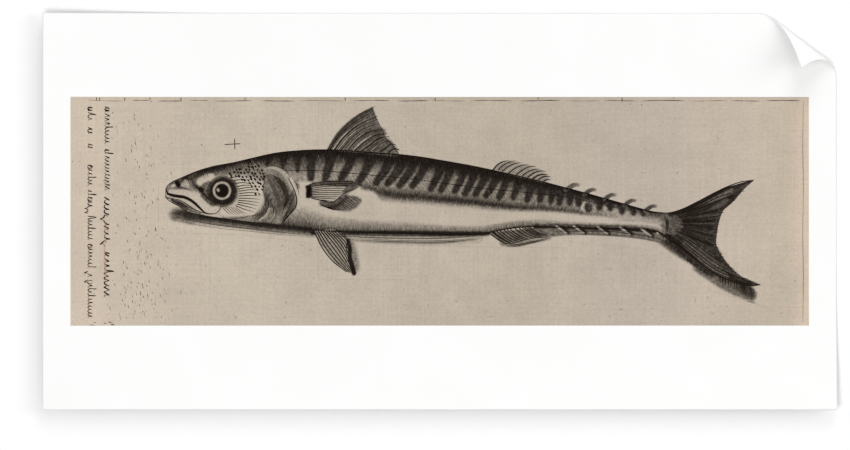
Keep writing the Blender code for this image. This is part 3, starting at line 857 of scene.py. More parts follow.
def headStrokes():
    # The mouth, the jaw, the rings of the eye, the crown's hatching, the cheek's fan and the spots.
    penLines("head_lines", smoothLine([(-206.5, 13.4), (-202, 12), (-197.8, 11.3), (-193.7, 10.7),
        (-189.1, 8.7), (-185.3, 5.9), (-181.5, 2.3), (-178.1, -0.9), (-174.7, -2), (-171.7, -1.9)], 26),
        pen["mouth"], (0.7, 1.0, 1.0, 0.95, 0.85, 0.7, 0.4, 0.25))
    penLines("head_lines", smoothLine([(-171.9, -1.9), (-169.3, -1.4), (-167, 0.8), (-165.4, 3.9)], 10),
        0.5, (0.8, 0.9, 0.7))
    penLines("head_lines", smoothLine([(-205.9, 10.5), (-202, 9.5), (-196.7, 8.4), (-192.9, 6.3),
        (-188.4, 3.3), (-183.8, 0.6), (-178.5, -1.4), (-175.5, -2.2)], 20), 0.4, (0.6, 0.9, 1.0, 0.8, 0.3))
    penLines("head_lines", family([[(-204.2, 8.9), (-198.9, 5.9), (-193.7, 2.9)],
        [(-195.9, 7.8), (-189.1, 3.3), (-183.1, -0.2)], [(-189.9, 4), (-185.3, 1), (-180, -1.4)]], 9, 8,
        0.2), 0.24)
    eye = np.array((-164.9, 15.6))
    turn = np.linspace(0.0, 2.0 * np.pi, 33)
    circle = np.stack([np.cos(turn), np.sin(turn)], axis=-1)
    penLines("head_lines", eye + 7.45 * circle, 0.24, (1.0, 0.9, 1.0, 0.8, 1.0))
    penLines("head_lines", eye + 5.0 * circle, 0.2, (1.0, 0.8, 1.0))
    # lines that follow the socket and the crown
    arc = np.linspace(0.35, 5.6, 30)
    rings = np.stack([np.cos(arc), np.sin(arc)], axis=-1)
    for reach in (8.6, 9.6, 10.6, 11.6):
        penLines("head_lines", eye + (0.6, -0.5) + reach * rings, 0.32, (0.4, 1.0, 1.0, 0.6, 0.9, 0.4))
    x = evenX(-198.2, -134.6, 0.95)
    top = heightOf(back, x)
    penLines("head_lines", hatch(x, top, top - chance.uniform(4.5, 7.5, len(x)), np.full(len(x), 2.4), 6,
        0.3), pen["crown"], (1.0, 0.8, 0.1))
    penLines("head_lines", family([[(-188.4, 25.2), (-186.1, 19.9), (-181.5, 17.6)],
        [(-180, 15.4), (-177, 10.8), (-171, 6.3)]], 9, 7, 0.3), 0.26)
    penLines("head_lines", family([[(-203.5, 18), (-197.4, 19), (-192.9, 18.4)],
        [(-200.5, 16.5), (-193.7, 16.9), (-186.8, 15.7)]], 5, 7, 0.2), 0.2)
    # the cheek: fine lines fan out behind the eye
    penLines("cheek_lines", family([[(-158.8, 25.2), (-154.3, 26.1), (-149.8, 26.1)],
        [(-155.1, 21.8), (-149, 22.2), (-142.6, 20.8)], [(-152.9, 17.6), (-145.2, 19), (-139.9, 17.9)],
        [(-151.8, 14.9), (-142.7, 16.1), (-137.3, 15.7)], [(-151.8, 11.8), (-143.7, 12.3), (-136.2, 12)],
        [(-152.4, 8.9), (-143.7, 8.4), (-136.2, 7.4)], [(-152.9, 6.3), (-145.2, 5.1), (-137.3, 3.3)],
        [(-154.5, 4.2), (-148.3, 1.7), (-140.7, -0.5)]], 13), pen["cheek"], (1.0, 0.85, 0.55, 0.12))
    penLines("cheek_lines", family([[(-164.7, 3.4), (-161.7, -0.1), (-158.2, -3)],
        [(-159.6, 3.6), (-156.1, 0.2), (-152, -3)], [(-154.5, 3.1), (-150.8, 0.2), (-146.7, -2)]], 6), 0.3,
        (0.6, 1.0, 0.8, 0.2))
    penLines("cheek_lines", family([[(-163.4, -4.7), (-158.8, -6), (-154.3, -6.7)],
        [(-146.7, -2.8), (-142.2, -3.6), (-137.7, -2)]], 7, 7), 0.2)
    # small dark spots in slanting rows between the crown and the gill
    rows, columns = np.meshgrid(np.arange(9), np.arange(12), indexing="ij")
    across = -158.8 + 2.76 * (columns + 0.5 * (rows % 2))
    down = 34.3 - 2.5 * rows - 0.028 * (across + 158.8)
    region = np.array([(-159.6, 31.2), (-147.5, 33.9), (-135.4, 34.7), (-132.4, 30.5), (-132.7, 19.9),
        (-134.6, 12.3), (-139.2, 12.3), (-140.7, 16.9), (-144.5, 20.3), (-149.8, 23.7), (-158.8, 25.6)])
    inside = pointInside(region, across.ravel(), down.ravel())
    spots = np.stack([across.ravel(), down.ravel()], axis=-1)[inside]
    spots = spots + chance.normal(0.0, 0.4, spots.shape)
    reach = chance.uniform(0.45, 0.85, (len(spots), 1, 1))
    t = np.linspace(-1.0, 1.0, 6)[:, None] * (0.8, 0.65)
    penLines("head_spots", spots[:, None, :] + reach * t, chance.uniform(*pen["spots"], len(spots)),
        (0.3, 0.9, 1.0, 0.7, 0.2))


def gillStrokes():
    # The edges of the gill covers, the curved lines that follow them, and the hatching of the breast.
    penLines("gill_lines", smoothLine([(-114.6, 24.8), (-111.9, 19.9), (-109.7, 14.6), (-108.3, 8.9),
        (-108.8, 4), (-112.7, -1.3), (-117.2, -6.2), (-120.3, -10)], 24), 0.75, (0.5, 0.9, 1.0, 1.0, 0.8))
    penLines("gill_lines", smoothLine([(-132.7, 28.6), (-126.3, 27.2), (-120.3, 23.1), (-115.7, 16.9),
        (-114.2, 12.3)], 18), 0.4)
    penLines("gill_lines", smoothLine([(-133.1, 32.9), (-127.1, 34.3), (-121, 33.1), (-115.7, 29.7),
        (-113.1, 25.2)], 18), 0.36)
    penLines("gill_lines", smoothLine([(-110.8, 13.8), (-114.2, 8.9), (-117.6, 3.3), (-119.9, -2.8)], 14),
        0.45)
    penLines("gill_lines", smoothLine([(-132.4, 12.3), (-129.7, 7), (-130.5, 1.7), (-133.1, -2.8),
        (-138.4, -6.6)], 16), 0.45)
    penLines("gill_lines", smoothLine([(-128.6, 7.8), (-125.9, 1.7), (-126.3, -2.8), (-129, -6.6)], 14),
        0.4)
    penLines("gill_lines", smoothLine([(-111.8, 25.2), (-108.2, 19.5), (-106.5, 11.6)], 12), 0.26)
    penLines("gill_lines", smoothLine([(-133.1, 29), (-132.5, 23.7), (-133.9, 17.6), (-132.7, 12.3)], 12),
        0.3)
    penLines("gill_lines", family([[(-132.4, 27.5), (-127.8, 18.4), (-123.3, 7.8), (-121.8, -4.3)],
        [(-127.8, 27.5), (-121.8, 19.9), (-118, 12.3), (-119.1, 1.7)],
        [(-122.5, 25.2), (-116.9, 17.6), (-114.6, 10.8), (-118, 1.7)]], 13, 14, 0.1), 0.26)
    penLines("gill_lines", family([[(-131.6, 32), (-124, 30.6), (-117.2, 24.8), (-113.1, 17.6)],
        [(-131.6, 29.4), (-124.8, 27.6), (-119.5, 22.3), (-115, 15.7)]], 6, 12), 0.16)
    penLines("gill_lines", family([[(-110.4, 12.3), (-112.7, 6.3), (-118.7, -5.8)],
        [(-108.8, 6.3), (-111.2, 1.7), (-118.4, -7.3)]], 6, 9), 0.22)
    penLines("gill_lines", family([[(-134.6, 7.8), (-131.6, 3.3), (-133.9, -2)],
        [(-139.9, -2), (-139.2, -4.3), (-141.4, -6.2)]], 6, 8), 0.2)
    x = evenX(-118, -96.8, 1.0)
    low = heightOf(belly, x)
    penLines("gill_lines", hatch(x, low, low + chance.uniform(8.0, 13.0, len(x)), np.full(len(x), -3.0),
        7), 0.22, (1.0, 0.6, 0.1))


def bodyStrokes():
    # Cross-hatching down from the back line in two directions, and short strokes on flank and belly.
    for lean, step, reach in ((2.2, 0.95, 0.62), (-1.8, 1.2, 0.5)):
        x = evenX(-146.7, 162.7, step)
        top, fall = heightOf(back, x), heightOf(back, x) - heightOf(lateralLine, x)
        length = np.maximum(fall, 3.0) * reach * chance.uniform(0.8, 1.2, len(x))
        penLines("body_hatching", hatch(x, top, top - length, np.full(len(x), lean)), pen["hatching"],
            (1.0, 0.9, 0.6, 0.1))
    x = evenX(-56, 113.5, 1.0)
    level = heightOf(flankLine, x) + chance.uniform(-0.8, 0.8, len(x))
    deep = np.interp(x, [-56, -48.4, -42.3, 30.3, 75.7], [1.2, 1.4, 4.0, 3.4, 1.6])
    deep = deep * chance.uniform(0.6, 1.2, len(x))
    penLines("body_hatching", hatch(x, level + chance.uniform(2.0, 5.0, len(x)), level - deep,
        np.full(len(x), -1.6), 6), 0.2, (0.1, 0.8, 0.9, 0.1))
    x = evenX(-102.1, 75.7, 0.9)
    low = heightOf(belly, x)
    tall = np.interp(x, [-105.9, -75.6, -30.2, 15.2, 75.7], [12.0, 8.6, 7.6, 6.0, 4.4])
    tall = tall * chance.uniform(0.8, 1.1, len(x))
    penLines("body_hatching", hatch(x, low, low + tall, np.full(len(x), -1.2), 6), 0.2,
        (1.0, 0.7, 0.5, 0.1))
    # faint scale edges between the lateral line and the flank
    x = evenX(-90.8, 121.1, 2.6)
    level = heightOf(lateralLine, x)
    for drop in (1.8, 3.6, 5.4):
        penLines("body_hatching", hatch(x + 0.7 * drop, level - drop, level - drop - 1.8,
            np.full(len(x), 1.3), 5, 0.4), 0.17)


def finStrokes():
    # Each fin is a family of lines blended between a few guide rays, with its edge drawn round it.

    # first dorsal fin: curved spines from the back to the notched rear edge
    penLines("dorsal_fin", smoothLine([(-84.9, 46.4), (-81.1, 52.2), (-74.7, 61), (-66.2, 69.1),
        (-58.6, 74.8), (-51.5, 77.8), (-49, 79.9)], 24), 0.5, (0.8, 1.0, 0.9, 0.8, 0.3))
    penLines("dorsal_fin", smoothLine([(-51.5, 77.4), (-50.1, 73.8), (-47.1, 68.1), (-45.5, 64.8),
        (-43.5, 61.5), (-42.3, 58.2), (-41.2, 55.8), (-38.3, 53), (-35, 48.7), (-31.2, 43.7)], 24), 0.26,
        (0.8, 1.0, 0.9, 1.0))
    spines = [[(-83.2, 46.6), (-77.5, 55.4), (-65.2, 67), (-49.3, 76.5)],
        [(-79.4, 46.5), (-72.8, 55.6), (-61.4, 65.1), (-47.2, 71.7)],
        [(-74.7, 46.4), (-67.1, 55.1), (-55.8, 63.2), (-45.2, 66.6)],
        [(-69.5, 46.2), (-62.9, 53.8), (-53.4, 59.8), (-42.7, 61.9)],
        [(-64.3, 46), (-57.2, 52.2), (-48.7, 57.4), (-40.1, 58.9)],
        [(-58.6, 45.7), (-51.5, 51.1), (-44.4, 55.6), (-38.2, 56.2)],
        [(-51.5, 45.4), (-45.8, 50), (-40.6, 53.2), (-35.9, 53)],
        [(-45.4, 44.9), (-39.7, 48.5), (-36.4, 50.9), (-33.3, 50)],
        [(-38.7, 44.3), (-35.4, 46.8), (-33.1, 47.1), (-30.4, 46.2)]]
    penLines("dorsal_fin", family(spines, 9, 14), pen["finRays"], (1.0, 1.0, 0.8, 0.7, 0.2))
    penLines("dorsal_fin", family(spines, 33, 12, 0.12), 0.2, (0.8, 0.9, 0.8, 0.4))
    # second dorsal fin and the finlets behind it
    rays = [[(39.9, 31.2), (43.9, 35.5), (48, 37.7), (52.5, 38.3)],
        [(43.9, 31.2), (48.9, 35.5), (53, 37.3), (57.5, 38.3)],
        [(46.9, 30.2), (52, 34), (57.1, 36.3), (61.6, 36.8)],
        [(52, 28.7), (57.5, 32.8), (62.6, 34.8), (67.1, 35.3)],
        [(57.5, 27.7), (63.1, 31.7), (68.1, 33.9), (72.7, 34)],
        [(62.1, 26.7), (67.7, 30.5), (72.7, 31.9), (75.9, 31.9)],
        [(66.1, 25.7), (71.6, 29.3), (76.2, 30.5), (80.2, 30)],
        [(70.1, 24.7), (75.2, 27.5), (79.2, 27.9), (81.8, 27.6)],
        [(74.2, 23.7), (78.3, 26), (81.8, 26.4), (84.2, 25.8)], [(78.3, 22.6), (81.3, 23.9), (84, 23.6)]]
    penLines("second_dorsal_fin", family(rays, 10, 12), 0.78, (1.0, 1.0, 0.75, 0.12))
    penLines("second_dorsal_fin", family(rays, 28, 10, 0.1), 0.18, (1.0, 0.8, 0.5, 0.1))
    leaf = [np.array([(0.0, 0.0), (3.2, 2.5), (6.6, 4.3), (9.6, 4.5), (12.6, 3.4)]),
        np.array([(3.6, -0.9), (5.8, 0.9), (8.2, 1.9), (10.8, 1.6)])]
    for (x, y), size in zip(((94.6, 16.9), (108.8, 13.6), (123.9, 9.8), (139.1, 5.5), (154.8, 1.2)),
            (1.0, 0.84, 0.84, 0.84, 0.84)):
        penLines("back_finlets", family([side * size + (x, y) for side in leaf], 5, 9), 0.28,
            (1.0, 0.9, 0.6, 0.1))
    # anal fin and the finlets below
    rays = [[(36.4, -15.9), (41.7, -19.8), (49.7, -24.2)], [(43.5, -14.6), (49.2, -19.4), (57.3, -23.8)],
        [(52.5, -13.7), (58.7, -18.4), (66.7, -21.5)], [(61.5, -12.4), (67.2, -16.5), (74.8, -19.8)],
        [(68.1, -11.5), (72.9, -15.1), (81.8, -18.7)]]
    penLines("anal_fin", family(rays, 14, 9, 0.1), 0.68, (1.0, 0.9, 0.8, 0.4))
    penLines("anal_fin", smoothLine([(36, -15.6), (41.7, -20), (49.7, -24.4), (55.8, -24.1), (63.4, -21.9),
        (71.9, -20.1), (81.8, -18.9), (77.6, -15.1), (74.3, -12.4)], 24), 0.35)
    penLines("anal_fin", family([[(47.3, -24.7), (56.8, -25.1), (70, -22.7), (83.7, -20.2)],
        [(50.6, -26.6), (58.7, -26.6), (71, -23.8), (79.5, -22.1)]], 4, 10), 0.2)
    for x, y in ((88.2, -10.9), (101.2, -10.9), (119.4, -11.5), (136.4, -12.1), (152.3, -13.2)):
        fold = [np.array([(0.9, -0.1), (3.7, -2.1), (6.3, -4.3), (8.4, -5.5)]),
            np.array([(3.2, 0.0), (6.0, -2.0), (8.4, -4.2), (10.0, -5.4)])]
        penLines("belly_finlets", family([side + (1.1 + x, y) for side in fold], 3, 8), 0.26,
            (1.0, 0.9, 0.8, 0.3))
    penLines("belly_finlets", family([[(83.3, -18.9), (102.2, -17.9), (124.9, -18.3), (153.2, -21),
        (170.3, -24.1)], [(87, -14.1), (106, -14.1), (134.3, -14.6), (155.1, -17.9), (172.2, -22.2)]], 5,
        14, 0.2), 0.2)
    # pectoral fin, its root and the scale-like hatching of its shadow
    penLines("pectoral_fin", smoothLine([(-97.4, 20.7), (-88.9, 22.3), (-77.5, 22.7), (-66.2, 22.1),
        (-58.9, 20.3)], 16), 0.5)
    penLines("pectoral_fin", smoothLine([(-58.9, 20.3), (-63.3, 17.5), (-68.1, 15.6), (-72.8, 13.3),
        (-76.6, 10), (-80.8, 7.1), (-88.9, 8), (-97.6, 10)], 20), 0.55, (0.4, 0.8, 1.0, 1.0, 0.8))
    penLines("pectoral_fin", family([[(-96.9, 18.8), (-82.2, 20.5), (-68.1, 21), (-60.5, 20.2)],
        [(-97.2, 15.9), (-85.1, 17.3), (-73.7, 17.4), (-65.7, 17.8)],
        [(-97.6, 13.8), (-87, 14.2), (-77.5, 14.2), (-70.4, 15)],
        [(-97.6, 11.6), (-88.9, 11.2), (-81.3, 10.9), (-75.8, 11.6)],
        [(-96.9, 10), (-91.7, 8.8), (-86, 8.1), (-80.8, 7.4)]], 9, 12), 0.5, (1.0, 0.8, 0.8, 0.3))
    penLines("pectoral_fin", family([[(-101.2, 19), (-100.2, 14.7), (-101, 10.4)],
        [(-97.8, 20.7), (-98.1, 15.2), (-97.9, 10.3)]], 6, 7), 0.5, (0.9, 1.0, 0.9))
    across = family([[(-90.3, 5.2), (-84.1, 3.3), (-77.5, 5.7), (-71.8, 9.5), (-66.2, 11.4)],
        [(-87.9, 3.6), (-81.3, 1.2), (-73.7, 1), (-66.2, 2.7), (-59.5, 8.1)]], 7, 15)
    penLines("pectoral_fin", np.swapaxes(across, 0, 1), 0.36, (0.5, 1.0, 0.7, 0.5, 0.3))
    penLines("pectoral_fin", across, 0.2)
    # pelvic fin
    rays = [[(-94.9, -15.3), (-88.9, -27.9), (-81.1, -37.8), (-70.7, -45.9)],
        [(-91.7, -14.6), (-84.1, -26.3), (-76.1, -36.4), (-67.6, -46.3)],
        [(-87.4, -14.6), (-78.9, -24.1), (-72.8, -33.1), (-67.3, -43.5)],
        [(-83.2, -14.6), (-76.1, -21.5), (-71.7, -27.4), (-69, -34)],
        [(-78.9, -14.3), (-73.9, -18.4), (-70.9, -21.5), (-69.9, -25.5)]]
    penLines("pelvic_fin", family(rays, 10, 12), 0.76, (1.0, 0.9, 0.8, 0.5))
    penLines("pelvic_fin", smoothLine([(-78.5, -14.1), (-73.3, -17.5), (-69.8, -21.2), (-70.3, -24.6),
        (-70.7, -29.3), (-68.8, -33.1), (-69.2, -37.8), (-67.3, -41.6), (-65.2, -47.1)], 20), 0.6,
        (0.6, 0.8, 1.0, 1.0))
    edge = family([[(-69.2, -21), (-67.7, -27.4), (-67.9, -34), (-66.2, -40.6), (-64.5, -46.8)],
        [(-66.2, -21.7), (-63.8, -28.3), (-63.1, -35), (-62.2, -40.6), (-63.3, -46.3)]], 5, 22)
    penLines("pelvic_fin", np.swapaxes(edge, 0, 1), 0.22, (1.0, 0.5, 0.1))


def tailStrokes():
    # The tail fin's edges and rays, the hairs of its fork, and the hatching of its shadow.
    penLines("tail_fin", tailTop, 0.7, (0.8, 1.0, 1.0, 0.6))
    penLines("tail_fin", tailBottom, 0.8, (0.8, 1.0, 1.0, 0.6))
    penLines("tail_fin", tailFork, 0.26)
    hairs = tailFork[6:60] + chance.normal(0.0, 0.3, (54, 2))
    penLines("tail_fin", hatch(hairs[:, 0] - 3.0, hairs[:, 1], hairs[:, 1],
        np.full(54, 3.4) + chance.uniform(0.0, 1.2, 54), 4), 0.28)
    rays = [[(176.3, -2), (196.8, 6.9), (215.7, 17), (236.7, 23.2)],
        [(180.1, -4.3), (196.8, 2.3), (210.4, 8.5), (225.9, 12.3)],
        [(183.1, -6.6), (196.8, -2.8), (207.3, 1), (215.7, 2.9)],
        [(183.9, -8.9), (193.7, -8.9), (202.8, -8.1), (211.3, -7.3)],
        [(183.9, -11.9), (193.7, -14.1), (201.3, -17.2), (209, -21.3)],
        [(181.6, -14.9), (193.7, -21.7), (204.3, -29.3), (216.4, -38)],
        [(177.8, -17.6), (193.7, -30), (208.9, -41.4), (231.6, -52.4)],
        [(171.2, -17.2), (189.2, -32.7), (208.9, -47.3), (241.8, -56.3)]]
    penLines("tail_fin", family(rays, 56, 14, 0.06), pen["tailRays"], (0.5, 1.0, 0.9, 0.8, 0.3))
    penLines("tail_fin", family([[(171.8, -4.3), (176.3, -3.9), (181.6, -5.7)],
        [(171.4, -9.6), (177.1, -9.6), (183.5, -10.4)], [(171.2, -14.9), (176.3, -16.4), (181.6, -15.3)]],
        12, 8), 0.24)
    penLines("tail_fin", family([[(169.5, -2.8), (171.2, -9.6), (170.3, -16.4)],
        [(172.2, -4.3), (172.9, -9.6), (171.9, -16.4)]], 4, 10), 0.26)
    # hatching of the shadow under the lower lobe
    ticks = family([[(167.6, -17.9), (168, -20.4)], [(176.3, -24.7), (175.7, -27.6)],
        [(186.2, -33.4), (185.3, -36.4)], [(196.8, -41.4), (196, -44.6)], [(207.3, -47.4), (207.1, -51.2)],
        [(217.9, -52.7), (217.9, -57.4)], [(227.8, -55.8), (228.5, -61.8)],
        [(235, -57.4), (236.1, -62.2)]], 90, 6, 0.3)
    penLines("tail_fin", ticks, 0.22, (1.0, 0.9, 0.6, 0.1))


def shadowStrokes():
    # Long lines in the shadow under the head and the belly.
    penLines("shadow_lines", family([[(-195.9, -0.5), (-163.7, -6.6), (-136.2, -10.7), (-96.1, -15.3)],
        [(-202.7, -6.6), (-177.8, -11.5), (-139.9, -15.7), (-96.1, -20.2)]], 8, 24, 0.2), 0.15,
        (0.2, 0.8, 1.0, 0.7, 0.5, 0.1))
    penLines("shadow_lines", family([[(-107.8, -15.3), (-77.5, -17.2), (-39.7, -18.1), (-1.9, -18.3),
        (34.1, -17.2)], [(-68.5, -20.6), (-49.1, -21.3), (-30.2, -22.1), (7.6, -21.9), (36, -19.4)],
        [(-63.3, -23.1), (-44.4, -24.2), (-25.5, -24.6), (2.9, -24.6), (26.5, -22.2)]], 7, 26, 0.2), 0.2,
        (0.2, 0.9, 0.8, 1.0, 0.2))


def plateMarks():
    # The copper plate's own edge, printed as a broken line along the top and a thin line at the right,
    # with burrs, scratches and specks towards the left.
    level = 83.9
    starts = [-266.3, -233, -213.3, -189.1, -171, -134.6, -105.9, -66.5, -31.7, -6.8, 22.7, 60.6, 95.4,
        124.1, 151.4, 189.2, 220.2, 246.7]
    ends = [-239, -219.4, -195.9, -174.7, -142.2, -110.4, -71.1, -37.8, -9, 19.7, 54.5, 90.8, 121.1, 148.3,
        184.6, 216.4, 242.1, 272.4]
    for number, (start, end) in enumerate(zip(starts, ends)):
        x = np.linspace(start, end, 14)
        wave = 0.25 * np.sin(0.11 * x + number) - 0.3
        penLines("plate_marks", np.stack([x, level + wave], axis=-1), 0.2 + 0.12 * (number % 3),
            (0.1, 0.8, 0.4, 1.0, 0.2))
    y = np.linspace(83.5, -83.8, 40)
    penLines("plate_marks", np.stack([274.7 + 0.2 * np.sin(0.09 * y), y], axis=-1), 0.2,
        (0.4, 1.0, 0.6, 1.0, 0.5))
    x = np.array([-259.5, -257.2, -238.3, -219.4, -195.9, -147.5, -71.8, -3.7, 74.2, 137.7])
    penLines("plate_marks", hatch(x, np.full(len(x), 86), 84.8 - chance.uniform(0.0, 2.2, len(x)),
        np.full(len(x), 0.2), 5), 0.5)
    x = chance.uniform(-264.8, -248.1, 9)
    y = chance.uniform(-86, -83.4, 9)
    penLines("plate_marks", hatch(x, y, y - 0.3, chance.uniform(1.0, 3.0, 9), 5), 0.24)
    # short slanting scratches left of the fish, most of them low down
    count = pen["scratches"]
    x = -226.2 + 17.0 * np.clip(chance.normal(0.0, 0.7, count), -1.6, 1.4)
    y = np.where(chance.random(count) < 0.6, chance.uniform(-80.7, -8.1, count),
        chance.uniform(-8.1, 75.1, count))
    long = chance.uniform(0.3, 1.0, count)
    penLines("plate_specks", hatch(x, y, y - 3.2 * long, 0.8 * long, 4), chance.uniform(0.08, 0.3, count),
        (0.4, 1.0, 0.4))
    count = pen["specks"]
    x, y = chance.uniform(-211.8, 272.4, count), chance.uniform(-82.2, 79.7, count)
    penLines("plate_specks", hatch(x, y, y - 0.35, chance.uniform(-0.3, 0.3, count), 4),
        chance.uniform(0.1, 0.36, count), (0.5, 1.0, 0.5))


def crossMark():
    # The engraver's small register cross.
    penLines("cross_mark", np.linspace((-162.9, 50.5), (-151, 51.1), 10), 0.5, (0.8, 1.0, 0.8, 1.0, 0.7))
    penLines("cross_mark", np.linspace((-155.4, 55), (-155.1, 46.7), 10), 0.5, (0.7, 1.0, 0.9, 1.0, 0.7))


def penScript(column, top, bottom, pitch, tall, width):
    # A made-up word that means nothing: a pen line that climbs and falls once for each letter, with now
    # and then a taller or a hanging one. It runs down the page, so a letter's height is along x.
    letters = max(2, int(round((top - bottom) / pitch)))
    knots = np.arange(4 * letters + 1)
    heights = chance.choice([1.0, 0.9, 1.1, 1.9, -0.8], letters, p=[0.36, 0.22, 0.2, 0.15, 0.07])
    climb = np.array([0.0, 1.0, 0.62, 0.06])[knots % 4]
    climb = climb * np.append(np.repeat(heights, 4), 0.0)[:len(knots)]
    slant = np.array([0.0, 0.34, 0.1, 0.05])[knots % 4] * pitch
    down = (top - bottom) * knots / knots[-1] + chance.uniform(-0.12, 0.12, len(knots)) * pitch + slant
    points = np.stack([column + tall * (climb - 0.5), top - down], axis=-1)
    path = smoothLine(points, 10 * letters + 4)
    press = 0.62 + 0.38 * np.sin(np.linspace(0.0, 6.3 * letters, len(path)))
    penLines("pen_script", path, width, press)


def scriptColumns():
    # Two columns of made-up words down the left side, the lower half of one in a larger hand. The words
    # follow one another with gaps, and some start with a loop like a capital's.
    for top, bottom in ((78.9, 75.1), (73.6, 50.9), (47.1, 43.4), (41.8, 16.1)):
        penScript(-251.5, top, bottom, 2.7, 3.4, 0.62)
    for top, bottom in ((10.8, -26.3), (-30.8, -33.8), (-36.1, -64.8)):
        penScript(-251.8, top, bottom, 3.8, 3.8, 0.9)
    for top, bottom in ((78.9, 75.9), (74.4, 68.3), (63, 58.5), (50.9, 47.9), (35, 19.1), (16.1, 12.3),
            (10.8, -2), (-3.6, -21.7), (-24.7, -42.9), (-45.2, -49.7), (-52, -80.7)):
        penScript(-264.3, top, bottom, 2.6, 3.3, 0.6)
    capitals = np.array([(-251.5, 77.1), (-251.5, 45.3), (-264.3, 77.4), (-264.3, 60.8), (-264.3, 33.5),
        (-264.3, 9.3), (-264.3, -26.3), (-264.3, -53.5)])
    turn = np.linspace(0.3, 5.6, 12)
    loop = np.stack([1.9 * np.cos(turn), 1.3 * np.sin(turn)], axis=-1)
    penLines("pen_script", capitals[:, None, :] + loop, 0.42, (0.4, 1.0, 0.6, 1.0, 0.5))


def chalkStreak():
    # A faint streak of red chalk beside the second line of writing.
    penLines("chalk_streak", family([[(-253.7, -2), (-254.3, -29.3), (-253.1, -59.5)],
        [(-251.8, -8.1), (-253, -33.1), (-251.6, -55)]], 5, 20, 0.3), 0.2,
        (0.1, 0.8, 0.3, 1.0, 0.5, 0.9, 0.1))


outlineStrokes()
headStrokes()
gillStrokes()
bodyStrokes()
finStrokes()
tailStrokes()
shadowStrokes()
plateMarks()
crossMark()
scriptColumns()
chalkStreak()
print("lines drawn for", len(strokes), "pieces")


def frontHeight(x, y):
    # The height of the sheet's picture side in millimetres, for a place in millimetres.
    return (liftOf(x * metre, y * metre) + sheet["thickness"]) / metre


def planeMap(piece, low, high):
    # The piece's own map: its place seen from above, fitted into the unit square.
    mesh = piece.data
    places = np.zeros(len(mesh.vertices) * 3, np.float32)
    mesh.vertices.foreach_get("co", places)
    corner = np.zeros(len(mesh.loops), np.int32)
    mesh.loops.foreach_get("vertex_index", corner)
    flat = (places.reshape(-1, 3)[:, :2] / metre - low) / (np.asarray(high) - low)
    uv = (flat * 0.96 + 0.02)[corner]
    mesh.uv_layers.new(name="OFBake").data.foreach_set("uv", uv.astype(np.float32).ravel())


# The tones are a thin printed film between two border lines, in four pieces from the head to the tail.
film = {"above": 0.012, "below": 0.03, "columnStep": 0.5}    # mm over and under the paper's face
filmPieces = {
    "tone_head": {"upper": [(-213, 22), (-150, 42), (-92, 50)],
        "lower": [(-213, -16), (-150, -18), (-92, -25)], "rows": 140},
    "tone_fins": {"upper": [(-92, 82), (-26, 82)], "lower": [(-92, -52), (-26, -52)], "rows": 262},
    "tone_flank": {"upper": [(-26, 46), (40, 41), (97, 30)], "lower": [(-26, -26), (97, -28)],
        "rows": 136},
    "tone_tail": {"upper": [(97, 30), (165, 12), (185, 9), (251, 28)],
        "lower": [(97, -23), (165, -30), (205, -60), (251, -74)], "rows": 160},
}


def sampleTone(x, y):
    # The plate's tone at any place: the four nearest plate points, weighted by how close they are.
    column, row = (x - plate["left"]) / plate["step"], (y - plate["bottom"]) / plate["step"]
    c = np.clip(column.astype(int), 0, tonePlate.shape[1] - 2)
    r = np.clip(row.astype(int), 0, tonePlate.shape[0] - 2)
    u, v = np.clip(column - c, 0.0, 1.0), np.clip(row - r, 0.0, 1.0)
    lowRow = tonePlate[r, c] * (1 - u) + tonePlate[r, c + 1] * u
    highRow = tonePlate[r + 1, c] * (1 - u) + tonePlate[r + 1, c + 1] * u
    return lowRow * (1 - v) + highRow * v


def toneFilm(name, borders):
    # A grid between the two border lines: columns evenly along x, rows in equal shares of the height.
    upper, lower = np.array(borders["upper"], float), np.array(borders["lower"], float)
    count = int(round((upper[-1, 0] - upper[0, 0]) / film["columnStep"])) + 1
    x = np.linspace(upper[0, 0], upper[-1, 0], count)[None, :]
    up = np.linspace(0.0, 1.0, borders["rows"])[:, None]
    y = heightOf(lower, x) * (1.0 - up) + heightOf(upper, x) * up
    x = np.broadcast_to(x, y.shape)
    rows, columns = y.shape
    front = frontHeight(x, y)
    top = np.stack([x, y, front + film["above"]], axis=-1).reshape(-1, 3)
    bottom = np.stack([x, y, front - film["below"]], axis=-1).reshape(-1, 3)
    rim = rimFaces(rows, columns, 0, rows * columns)
    faces = np.concatenate([gridFaces(rows, columns),
        gridFaces(rows, columns, rows * columns, turned=True), rim])
    piece = addMesh(name, np.concatenate([top, bottom]) * metre, faces, inkedPlatePrint, len(rim))
    tone = np.clip(sampleTone(x, y), 0.0, 1.0).ravel()
    # The eye's darkness scale as the share of the paper that ink covers.
    cover = 1.0 - (1.0 - tone) ** 2.2
    attribute = piece.data.attributes.new("inkCover", "FLOAT", "POINT")
    attribute.data.foreach_set("value", np.tile(cover, 2).astype(np.float32))
    planeMap(piece, (upper[0, 0], lower[:, 1].min()), (upper[-1, 0], upper[:, 1].max()))
    return piece


for name, borders in filmPieces.items():
    toneFilm(name, borders)
print("tone films made")


ink = {"above": 0.045, "below": 0.06,   # mm over and under the paper's face
       "spread": 0.16}                  # mm that the ink spreads into damp paper at each line


